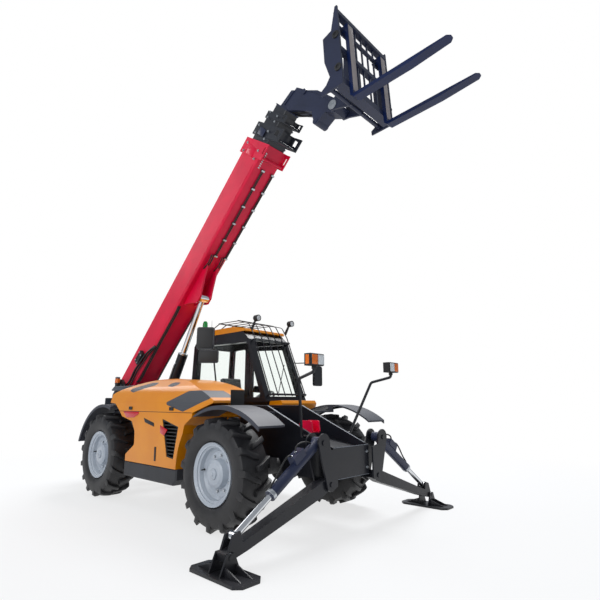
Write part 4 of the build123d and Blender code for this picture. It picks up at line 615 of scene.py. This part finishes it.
def lug_ring():
    """One side's lugs: a bar extruded across the tread, then copied round."""
    bpy.ops.object.select_all(action="DESELECT")
    bpy.ops.mesh.primitive_plane_add(size=2)
    piece = bpy.context.object
    for vertex in piece.data.vertices:
        vertex.co = (vertex.co.x, 0, vertex.co.y)
    edit()
    for step in range(len(lug_sections) - 1):
        bpy.ops.mesh.extrude_region_move(TRANSFORM_OT_translate={"value": (0, 1, 0)})
    bpy.ops.mesh.select_all(action="SELECT")
    bpy.ops.mesh.normals_make_consistent(inside=False)
    bpy.ops.object.mode_set(mode="OBJECT")
    for vertex in piece.data.vertices:
        across, top, foot, lead, half = lug_sections[round(vertex.co.y)]
        outer = vertex.co.x > 0
        spread = half * (0.86 if outer else 1.15)
        vertex.co = (top if outer else foot, across, lead + (spread if vertex.co.z > 0 else -spread))
    bevelled(piece, 0.006, 2)
    edit()
    bpy.ops.mesh.spin(
        steps=lug_count - 1, dupli=True, angle=2 * pi * (lug_count - 1) / lug_count,
        center=(0, 0, 0), axis=(0, 1, 0),
    )
    bpy.ops.mesh.select_all(action="SELECT")
    bpy.ops.mesh.normals_make_consistent(inside=False)
    bpy.ops.object.mode_set(mode="OBJECT")
    return piece


outer_lugs = lug_ring()
inner_lugs = mirrored(outer_lugs)
inner_lugs.data.transform(Matrix.Rotation(pi / lug_count, 4, "Y"))
one_tyre = joined([tyre_carcass(), outer_lugs, inner_lugs])

for end, axle_x in (("front", front_x), ("rear", rear_x)):
    for hand, side in hands:
        body = f"wheel_{end}_{hand}"
        hub = Vector((axle_x, side * wheel_y, wheel_z))
        outward = (0, side, 0)
        tyre = copied(one_tyre, (0, 0, 0))
        if side < 0:
            tyre.data.transform(Matrix.Scale(-1, 4, left))
            tyre.data.flip_normals()
        tyre.data.transform(Matrix.Translation(hub))
        done(tyre, f"lugged_tyre_{end}_{hand}", tyre_rubber, body)
        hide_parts(f"tyre_{end}_{hand}")
        disc = hub + Vector((0, side * disc_face, 0))
        nut_places = ring_places(disc, 0.198, 10, 0.2)
        bolts(f"rim_nuts_{end}_{hand}", nut_places, outward, 0.024, body)
        hub_cap = turned([
            (0, 0.062), (0.012, 0.060), (0.016, 0.050), (0.016, 0.022), (0.024, 0.020), (0.026, 0.012),
        ])
        bevelled(hub_cap, 0.0015, 2)
        stand(hub_cap, hub + Vector((0, side * hub_face, 0)), outward)
        done(hub_cap, f"hub_cap_{end}_{hand}", rim_enamel, body)
        stem_foot = hub + Vector((-0.262, side * 0.083, 0.02))
        stem = turned([
            (0, 0.011), (0.012, 0.011), (0.014, 0.006), (0.04, 0.0055), (0.042, 0.008), (0.06, 0.007),
        ], 12)
        stand(stem, stem_foot, (0.35, side * 0.94, 0))
        done(stem, f"valve_stem_{end}_{hand}", trim_plastic, body)
bpy.data.objects.remove(one_tyre)

# ---------------------------------------------------------------- lamps
lamp_x = 1.235  # ahead of the front axle
lamp_y = 0.771
lamp_z = 1.865
for hand, side in hands:
    outer = ahead(lamp_x, side * (lamp_y + 0.052), lamp_z)
    inner = ahead(lamp_x, side * (lamp_y - 0.05), lamp_z)
    bezel = block((0.124, 0.204, 0.02), 0.006, 3, 0.008, -0.012)
    stand(bezel, ahead(lamp_x + 0.006, side * lamp_y, lamp_z), forward, up)
    done(bezel, f"lamp_bezel_{hand}", trim_plastic, "frame")
    turn_lens = block((0.104, 0.088, 0.016), 0.005, 3)
    stand(turn_lens, outer + forward * 0.012, forward, up)
    done(turn_lens, f"turn_lens_{hand}", amber_lens, "frame")
    bowl = turned([(0, 0.014), (0.004, 0.026), (0.012, 0.040), (0.014, 0.043), (0.016, 0.044)], 24)
    stand(bowl, inner + forward * 0.004, forward)
    done(bowl, f"headlamp_bowl_{hand}", reflector, "frame")
    clear_lens = block((0.104, 0.096, 0.014), 0.005, 3)
    stand(clear_lens, inner + forward * 0.014, forward, up)
    done(clear_lens, f"headlamp_lens_{hand}", pearl_lens, "frame")
    side_lens = block((0.1, 0.05, 0.012), 0.004, 3)
    stand(side_lens, ahead(lamp_x - 0.045, side * (lamp_y + 0.106), lamp_z), (0, side, 0), up)
    done(side_lens, f"turn_side_lens_{hand}", amber_lens, "frame")
    clamp = turned([(0, 0.026), (0.03, 0.026), (0.034, 0.02)], 16)
    stand(clamp, ahead(lamp_x - 0.045, side * lamp_y, lamp_z - 0.097), up)
    done(clamp, f"lamp_clamp_{hand}", trim_plastic, "frame")

for number, work_lamp_y in enumerate((0.320, 1.095)):
    face = ahead(-0.940, work_lamp_y, 2.745)
    ring = turned([(0, 0.053), (0.010, 0.053), (0.012, 0.050), (0.012, 0.045), (0.004, 0.044)], 28)
    done(stand(ring, face, forward), f"work_lamp_ring_{number}", trim_plastic, "frame")
    lens = turned([(0.0, 0.044), (0.006, 0.043), (0.010, 0.036), (0.013, 0.022), (0.014, 0.006)], 28)
    done(stand(lens, face, forward), f"work_lamp_lens_{number}", pearl_lens, "frame")

beacon_foot = ahead(-2.50, 0.40, 2.715)
beacon_base = turned([(-0.08, 0.03), (-0.02, 0.03), (0, 0.056), (0.03, 0.054), (0.04, 0.048)], 28)
done(stand(beacon_base, beacon_foot, up), "beacon_base", trim_plastic, "frame")
beacon = turned([(0, 0.044), (0.05, 0.046), (0.10, 0.042), (0.125, 0.032), (0.135, 0.014)], 28)
done(stand(beacon, beacon_foot + up * 0.04, up), "beacon_dome", green_lens, "frame")
antenna = turned([(0, 0.014), (0.02, 0.012), (0.03, 0.004), (0.26, 0.0025), (0.264, 0.004)], 10)
done(stand(antenna, ahead(-2.46, 0.52, 2.645), up), "antenna", trim_plastic, "frame")

# tail lamps on the weight's rear face, from which the hitch ears stand out
hitch_reach = 0.155
tail_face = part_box("counterweight")[0][0] + hitch_reach
tail_lamp_y = 0.40
for hand, side in hands:
    for name, height, lens_material in (("brake", 1.36, red_lens), ("turn", 1.22, amber_lens)):
        rim = turned([(0, 0.056), (0.016, 0.055), (0.018, 0.051), (0.018, 0.046), (0.008, 0.045)], 28)
        place = Vector((tail_face, side * tail_lamp_y, height))
        done(stand(rim, place, -forward), f"{name}_ring_{hand}", trim_plastic, "frame")
        lens = turned([(0.0, 0.045), (0.012, 0.044), (0.018, 0.036), (0.021, 0.014)], 28)
        done(stand(lens, place, -forward), f"{name}_lens_{hand}", lens_material, "frame")

# ---------------------------------------------------------------- mirrors
mirror_turn = radians(45)
mirror_back = Vector((cos(mirror_turn), -sin(mirror_turn), 0))
mirror_across = Vector((sin(mirror_turn), cos(mirror_turn), 0))
# columns: distance ahead, height, width and height of the head
mirror_heads = ((-1.300, 2.100, 0.3, 0.2), (-1.400, 2.385, 0.27, 0.35))
for number, (distance, height, wide, high) in enumerate(mirror_heads):
    centre = ahead(distance, -0.353, height)
    glass_plate = block((wide - 0.04, high - 0.04, 0.006), 0.0025, 2)
    stand(glass_plate, centre - mirror_back * 0.0225, -mirror_back, mirror_across)
    done(glass_plate, f"mirror_glass_{number}", mirror_silver, "frame")
    shell = block((wide - 0.05, high - 0.05, 0.012), 0.0055, 3)
    stand(shell, centre + mirror_back * 0.0235, mirror_back, mirror_across)
    done(shell, f"mirror_shell_{number}", trim_plastic, "frame")
left_glass = block((0.16, 0.29, 0.006), 0.0025, 2)
stand(left_glass, ahead(-0.664, 1.42, 1.85), -forward, left)
done(left_glass, "mirror_glass_left", mirror_silver, "frame")

# ---------------------------------------------------------------- engine cover
side_wall = -1.150  # its outer face


def side_plate(name, corners, thick, material, body, bevel=0.003):
    """A plate on the engine cover's outer wall from side-view corners ahead of the front axle."""
    plate = side_slab(corners, side_wall + 0.001, thick, bevel)
    return done(plate, name, material, body)


side_plate("tail_reflector",
           [(-2.27, 1.287), (-2.16, 1.200), (-1.93, 1.205), (-1.81, 1.252), (-1.80, 1.287)],
           0.008, red_lens, "frame")
side_plate("side_reflector", [(-1.20, 1.12), (-1.19, 1.02), (-1.09, 0.99), (-1.02, 1.07)],
           0.008, red_lens, "frame")
side_plate("blank_plate", [(-1.65, 1.205), (-1.61, 1.145), (-1.36, 1.095), (-1.37, 1.145)],
           0.006, trim_plastic, "frame")
# a black plate painted where the pull recess is, as the shade inside its hollow
side_plate("pull_recess_painted_shade", [(-1.315, 0.84), (-1.305, 0.66), (-1.262, 0.66), (-1.268, 0.84)],
           0.006, trim_plastic, "frame")
side_plate("joint_seal", [(-2.39, 1.2865), (-2.39, 1.2935), (-0.49, 1.2935), (-0.49, 1.2865)],
           0.0025, trim_plastic, "frame", 0.0008)
for number, distance in enumerate((-2.05, -0.95)):
    latch = block((0.09, 0.045, 0.016), 0.005, 3, 0.007, -0.004)
    stand(latch, ahead(distance, side_wall - 0.006, 1.335), right, forward)
    done(latch, f"lid_latch_{number}", trim_plastic, "hood")

# ---------------------------------------------------------------- front frame
front_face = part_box("front_plate")[1][0]
# pale strips painted along the front plate's top and foot edges: painted highlights
for name, height in (("top", 0.920), ("foot", 0.582)):
    ends = [Vector((front_face + 0.001, y, height)) for y in (-0.34, 0.34)]
    bar = strip(*ends, 0.007, 0.004, up)
    done(bar, f"front_plate_{name}_edge", edge_highlight_paint, "frame")
bolts("front_plate_bolts",
      [Vector((front_face, side * 0.305, height)) for side in (-1, 1) for height in (0.66, 0.84)],
      forward, 0.022, "frame")
# pale strips painted as highlights along the side plates' sloping and level top edges.  columns: distance
# ahead, height of both ends
plate_edges = (((1.070, 0.9265), (0.012, 1.3755)), ((-0.70, 1.3765), (0.0, 1.3765)))
for hand, side in hands:
    for number, edge in enumerate(plate_edges):
        ends = [ahead(distance, side * 0.330, height) for distance, height in edge]
        bar = strip(*ends, 0.028, 0.003, left)
        done(bar, f"side_plate_edge_{hand}_{number}", edge_highlight_paint, "frame")

# ---------------------------------------------------------------- boom
# bolts of each section's collar.  columns: name, body, places along, heights, reach to the side, size
head_bolts = [
    ("collar", "boom", (5.03, 5.17), (0.23, -0.13), 0.2385, 0.024),
    ("second", "section_1", (5.37, 5.50), (0.20, -0.10), 0.2265, 0.022),
    ("third", "section_2", (5.67, 5.76), (0.14, -0.08), 0.1975, 0.020),
]
for name, body, us, ws, reach, size in head_bolts:
    for hand, side in hands:
        places = [on_boom(u, side * reach, w) for u in us for w in ws]
        bolts(f"{name}_bolts_{hand}", places, (0, side, 0), size, body)
# covers of the wear pads.  columns: name, body, place along, length, height, reach to the side, finish
pad_covers = (
    ("collar", "boom", 5.10, 0.15, 0.20, 0.2385, boom_enamel, "boom_paint"),
    ("second", "section_1", 5.435, 0.12, 0.17, 0.2265, slate_enamel, "slate_paint"),
)
for name, body, u, wide, high, reach, material, slot in pad_covers:
    for hand, side in hands:
        pad = block((wide, high, 0.012), 0.004, 2, 0.012, 0.002)
        stand(pad, on_boom(u, side * reach, 0.05), (0, side, 0), boom_dir)
        done(pad, f"{name}_wear_pad_{hand}", material, body)
# welded seams along the boom's lower corners
for hand, side in hands:
    ends = [on_boom(u, side * 0.2215, -0.155) for u in (0.2, 4.95)]
    seam = strip(*ends, 0.010, 0.004, boom_up)
    done(seam, f"boom_seam_{hand}", boom_enamel, "boom")
# zinc clips over the pipes under the boom
first_clip = 3.284
clip_pitch = 0.33
clip_places = [
    on_boom(first_clip + clip_pitch * step, y, -0.236) for step in range(6) for y in (0.175, -0.04)
]
clip = block((0.028, 0.066, 0.006), 0.002, 2)
clips = standing_copies(clip, clip_places, -boom_up, boom_dir)
done(clips, "pipe_clips", zinc, "boom")
# chain seen in the collar's window
link = turned([(0, 0.012), (0.02, 0.012), (0.022, 0.009)], 10)
links = standing_copies(link, [on_boom(4.96 + 0.035 * step, -0.16, -0.262) for step in range(8)], right)
done(links, "extension_chain", zinc, "boom")

# caps of the boom's pivot pin and of the fork carriage's
for hand, side in hands:
    cap = turned([(0, 0.075), (0.012, 0.074), (0.014, 0.06), (0.014, 0.03), (0.02, 0.026)], 28)
    place = Vector((boom_pivot.x, side * 0.345, boom_pivot.z))
    done(stand(cap, place, (0, side, 0)), f"boom_pin_cap_{hand}", zinc, "frame")
    cap = turned([(0, 0.07), (0.01, 0.069), (0.012, 0.055), (0.012, 0.03)], 24)
    place = Vector((tilt_pivot.x, side * 0.151, tilt_pivot.z))
    done(stand(cap, place, (0, side, 0)), f"tilt_pin_cap_{hand}", zinc, "fork_carriage")

# ---------------------------------------------------------------- lift cylinder
barrel_foot = joint_at["lift_barrel_swing"]
lift_axis = joint_axis["lift_rod_slide"]
gland = turned([(-0.03, 0.080), (-0.028, 0.084), (0.024, 0.084), (0.03, 0.080), (0.03, 0.056)], 32)
done(stand(gland, barrel_foot + lift_axis * 1.86, lift_axis), "lift_gland", zinc, "lift_barrel")
# the pipe leaves the valve and runs along the barrel.  columns: along the axis, out from it
pipe_route = ((0.86, 0.070), (0.86, 0.104), (0.94, 0.104), (1.60, 0.104), (1.68, 0.104), (1.68, 0.070))
pipe = hose_run([barrel_foot + lift_axis * a + right * b for a, b in pipe_route], 0.010)
done(pipe, "lift_pipe", zinc, "lift_barrel")
valve = block((0.07, 0.09, 0.15), 0.006, 3)
stand(valve, barrel_foot + lift_axis * 0.86 + right * 0.105, lift_axis, right)
done(valve, "lift_valve", trim_plastic, "lift_barrel")

# ---------------------------------------------------------------- hoses and boxes round the boom
# short hoses into the boom's underside.  columns of each route: along the boom, out of it
for number, y in enumerate((-0.13, -0.09, 0.09, 0.13)):
    run = [on_boom(u, y, w) for u, w in ((3.30, -0.232), (3.22, -0.26), (3.12, -0.255), (3.0, -0.222))]
    done(hose_run(run, 0.011), f"boom_hose_{number}", hose_rubber, "boom")
# hose bundle from the boom's foot, along its lower corners
foot_route = (
    (0.34, -0.205), (0.42, -0.240), (0.6, -0.232), (1.0, -0.226),
    (1.6, -0.226), (2.1, -0.232), (2.16, -0.205),
)
foot_hoses = ((-0.205, 0.0), (-0.185, 0.014), (-0.165, 0.0), (0.185, 0.0), (0.165, 0.014))
for number, (y, lift) in enumerate(foot_hoses):
    run = [on_boom(u, y, w - lift) for u, w in foot_route]
    done(hose_run(run, 0.011), f"foot_hose_{number}", hose_rubber, "boom")
# hoses under the gooseneck
for number, (y, sag) in enumerate(((-0.05, 0.0), (0.03, 0.03))):
    run = [on_boom(u, y, w) for u, w in (
        (5.93, -0.14), (5.94, -0.24 - sag), (6.00, -0.42 - sag), (6.10, -0.62 - sag), (6.16, -0.78),
        (6.20, -0.86),
    )]
    done(hose_run(run, 0.012), f"head_hose_{number}", hose_rubber, "section_3")
# hoses at the pivot, between the boom and the side plate, drawn together at their upper ends
pivot_route = ((0.02, -0.06), (0.12, -0.12), (0.30, -0.16), (0.52, -0.12), (0.80, -0.17), (1.05, -0.20))
for number, (y, rise) in enumerate(((-0.262, 0.0), (-0.290, 0.045), (-0.245, 0.09))):
    run = [on_boom(u, y, w + rise) for u, w in pivot_route]
    run += [on_boom(1.22, -0.215, -0.215 + rise * 0.3)]
    done(hose_run(run, 0.015), f"pivot_hose_{number}", hose_rubber, "boom")
manifold = block((0.26, 0.12, 0.07), 0.008, 3, 0.012, -0.006)
stand(manifold, on_boom(0.75, -0.252, 0.02), right, boom_dir)
done(manifold, "boom_manifold", trim_plastic, "boom")
bolts("manifold_bolts", [on_boom(u, -0.287, w) for u in (0.66, 0.84) for w in (-0.02, 0.06)],
      right, 0.018, "boom")

# rear box beside the boom's foot, standing on the side plate, with its lid and lamp
box_inner = -0.346  # its face against the side plate
box_wide = 0.27
box_view = [(-3.86, 1.31), (-2.95, 1.31), (-2.95, 1.62), (-3.80, 1.62), (-3.86, 1.56)]
lid_view = [(-3.87, 1.622), (-2.94, 1.622), (-2.94, 1.665), (-3.05, 1.70), (-3.78, 1.70), (-3.87, 1.65)]
for name, corners, wide, material in (
    ("tail_box", box_view, box_wide, tank_plastic),
    ("tail_box_lid", lid_view, box_wide + 0.015, weight_enamel),
):
    done(side_slab(corners, box_inner, wide, 0.018, 3), name, material, "frame")
bolt_places = [ahead(x, box_inner - box_wide, 1.50) for x in (-3.75, -3.42, -3.10)]
bolts("tail_box_bolts", bolt_places, right, 0.018, "frame")
lamp_foot = ahead(-4.16, -0.395, 1.74)
stalk = turned([(-0.03, 0.04), (0.02, 0.04), (0.028, 0.048), (0.04, 0.048)], 24)
done(stand(stalk, lamp_foot, up), "tail_lamp_base", trim_plastic, "frame")
dome = turned([(0.0, 0.045), (0.07, 0.045), (0.085, 0.040)], 24)
done(stand(dome, lamp_foot + up * 0.04, up), "tail_lamp_dome", amber_lens, "frame")
crown = turned([(0.0, 0.046), (0.02, 0.044), (0.03, 0.03)], 24)
done(stand(crown, lamp_foot + up * 0.125, up), "tail_lamp_crown", weight_enamel, "frame")

# ---------------------------------------------------------------- fork carriage
fork_y = 0.384
# worn faces of the fork shanks, and bosses on the carriage's side plates
for hand, side in hands:
    ends = [on_forks(0.0015, side * fork_y, z) for z in (0.05, 1.06)]
    worn = strip(*ends, 0.10, 0.003, left)
    done(worn, f"worn_shank_{hand}", shank_steel, "fork_carriage")
    boss = turned([(0, 0.052), (0.014, 0.051), (0.018, 0.042), (0.018, 0.024), (0.010, 0.022)], 24)
    bosses = standing_copies(boss, [on_forks(-0.10, side * 0.585, z) for z in (0.36, 0.86)], (0, side, 0))
    done(bosses, f"plate_bosses_{hand}", trim_plastic, "fork_carriage")
# pale strips painted on the front edges of the backrest's bars: painted highlights
for number, y in enumerate((-0.50, -0.285, -0.14, 0.0, 0.14, 0.285, 0.50)):
    ends = [on_forks(-0.0885, y, z) for z in (0.21, 1.18)]
    edge_bar = strip(*ends, 0.012, 0.003, left)
    done(edge_bar, f"guard_bar_edge_{number}", edge_highlight_paint, "fork_carriage")

# ---------------------------------------------------------------- stabilisers
ram_slope = radians(32.5)
# columns of each hose's route: down along the ram, out of its upper side
ram_route = ((0.40, 0.12), (0.42, 0.16), (0.52, 0.15), (0.68, 0.085), (0.76, 0.075), (0.79, 0.06))
feed_route = ((0.33, 0.12), (0.31, 0.17), (0.22, 0.16), (0.12, 0.10), (0.10, 0.06))
for hand, side in hands:
    top = joint_at[f"stabiliser_{hand}_barrel_swing"]
    down = Vector((0, side * cos(ram_slope), -sin(ram_slope)))
    across = Vector((0, side * sin(ram_slope), cos(ram_slope)))
    body = f"stabiliser_barrel_{hand}"
    gland = turned([(-0.02, 0.054), (-0.018, 0.058), (0.018, 0.058), (0.022, 0.053), (0.022, 0.036)], 28)
    done(stand(gland, top + down * 0.806, down), f"ram_gland_{hand}", zinc, body)
    fitting = turned([(0, 0.012), (0.016, 0.012), (0.018, 0.015), (0.034, 0.015), (0.036, 0.010)], 6)
    fitting_places = [top + down * a + across * 0.095 for a in (0.33, 0.40)]
    done(standing_copies(fitting, fitting_places, across), f"ram_fittings_{hand}", zinc, body)
    for name, route in (("ram_hose", ram_route), ("ram_feed_hose", feed_route)):
        run = [top + down * a + across * b for a, b in route]
        done(hose_run(run, 0.009), f"{name}_{hand}", hose_rubber, body)
    pin_cap = turned([(0, 0.034), (0.008, 0.033), (0.010, 0.024)], 20)
    foot = joint_at[f"stabiliser_{hand}_pad_tilt"]
    stand(pin_cap, foot + forward * 0.063, forward)
    done(pin_cap, f"pad_pin_cap_{hand}", zinc, f"stabiliser_leg_{hand}")

# ---------------------------------------------------------------- cab
door_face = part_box("cab_door")[1][1]
handle = block((0.15, 0.034, 0.030), 0.008, 3)
stand(handle, Vector((-1.08, door_face + 0.008, 1.30)), left, forward)
done(handle, "door_handle", trim_plastic, "door")
wiper_arm = strip(Vector((0.118, 0.62, 1.56)), Vector((0.02, 0.84, 2.02)), 0.012, 0.008, left)
done(wiper_arm, "wiper_arm", trim_plastic, "frame")
display = block((0.16, 0.11, 0.02), 0.006, 3, 0.008, -0.002)
stand(display, Vector((-0.20, 0.46, 1.62)), Vector((-0.85, 0.1, 0.5)), left)
done(display, "dash_display", screen_plastic, "frame")

# seat cushions: swelled under pressure from slightly smaller forms
seat_y = 0.72
swell_frames = 12
swell_pressure = 3.0
most_swell = 0.014


def cushion(name, size, place, axis, across):
    """A padded seat part, swelled by cloth under pressure from a smaller block."""
    form = block(size, min(size) * 0.28, 3)
    stand(form, place, axis, across)
    bpy.ops.object.select_all(action="DESELECT")
    form.select_set(True)
    bpy.context.view_layer.objects.active = form
    remesh = form.modifiers.new("voxels", "REMESH")
    remesh.mode = "VOXEL"
    remesh.voxel_size = 0.006
    bpy.ops.object.modifier_apply(modifier=remesh.name)
    start = [vertex.co.copy() for vertex in form.data.vertices]
    cloth = form.modifiers.new("swell", "CLOTH")
    cloth.settings.use_pressure = True
    cloth.settings.uniform_pressure_force = swell_pressure
    cloth.settings.effector_weights.gravity = 0
    for step in range(1, swell_frames + 1):
        bpy.context.scene.frame_set(step)
    bpy.ops.object.modifier_apply(modifier=cloth.name)
    bpy.context.scene.frame_set(1)
    for vertex, rest in zip(form.data.vertices, start):
        move = vertex.co - rest
        if move.length > most_swell:
            vertex.co = rest + move * (most_swell / move.length)
    finer = form.modifiers.new("soft", "SUBSURF")
    finer.levels = 1
    finer.render_levels = 1
    bpy.ops.object.modifier_apply(modifier=finer.name)
    done(form, name, seat_cloth, "frame", 80)
    return form


pan = cushion("seat_pan", (0.46, 0.43, 0.10), Vector((-0.90, seat_y, 1.245)), up, forward)
cushion("seat_back", (0.55, 0.42, 0.09), Vector((-1.155, seat_y, 1.56)), Vector((0.97, 0, 0.24)), up)
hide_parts("seat")

# ---------------------------------------------------------------- floor, light
bpy.ops.object.select_all(action="DESELECT")
bpy.ops.mesh.primitive_plane_add(size=60, location=(0, 0, 0))
floor = bpy.context.object
floor.name = "floor"
floor.data.materials.append(studio_floor())

world = bpy.data.worlds.new("studio")
bpy.context.scene.world = world
world.use_nodes = True
sky = world.node_tree
plain = sky.nodes["Background"]
plain.inputs["Color"].default_value = (0.82, 0.86, 0.92, 1)
plain.inputs["Strength"].default_value = 0.45
# the pale sky lights the machine, and plain white is seen behind it and through the glass
white = add_node(sky, "ShaderNodeBackground", {"Color": (1, 1, 1, 1), "Strength": 1.0})
rays = add_node(sky, "ShaderNodeLightPath", {})
seen = add_node(sky, "ShaderNodeMath", {"operation": "MAXIMUM"},
                {0: rays.outputs["Is Camera Ray"], 1: rays.outputs["Is Transmission Ray"]})
choice = add_node(sky, "ShaderNodeMixShader", {}, {
    0: seen.outputs["Value"], 1: plain.outputs["Background"], 2: white.outputs["Background"]})
sky.links.new(choice.outputs["Shader"], sky.nodes["World Output"].inputs["Surface"])


def soft_box(name, place, aim, wide, high, power):
    """A softbox turned towards a place."""
    data = bpy.data.lights.new(name, "AREA")
    data.shape = "RECTANGLE"
    data.size = wide
    data.size_y = high
    data.energy = power
    lamp = bpy.data.objects.new(name, data)
    bpy.context.scene.collection.objects.link(lamp)
    lamp.location = place
    lamp.rotation_euler = (Vector(aim) - Vector(place)).to_track_quat("-Z", "Y").to_euler()


middle = (0, 0, 2.2)
# columns: name, place, aim, width, height, watts
soft_box("key_light", (-3.0, 7.5, 16.0), middle, 8, 8, 3300)
soft_box("fill_light", (3.0, -11.0, 6.0), middle, 9, 6, 560)
soft_box("rim_light", (-9.0, -2.0, 9.0), middle, 6, 6, 330)
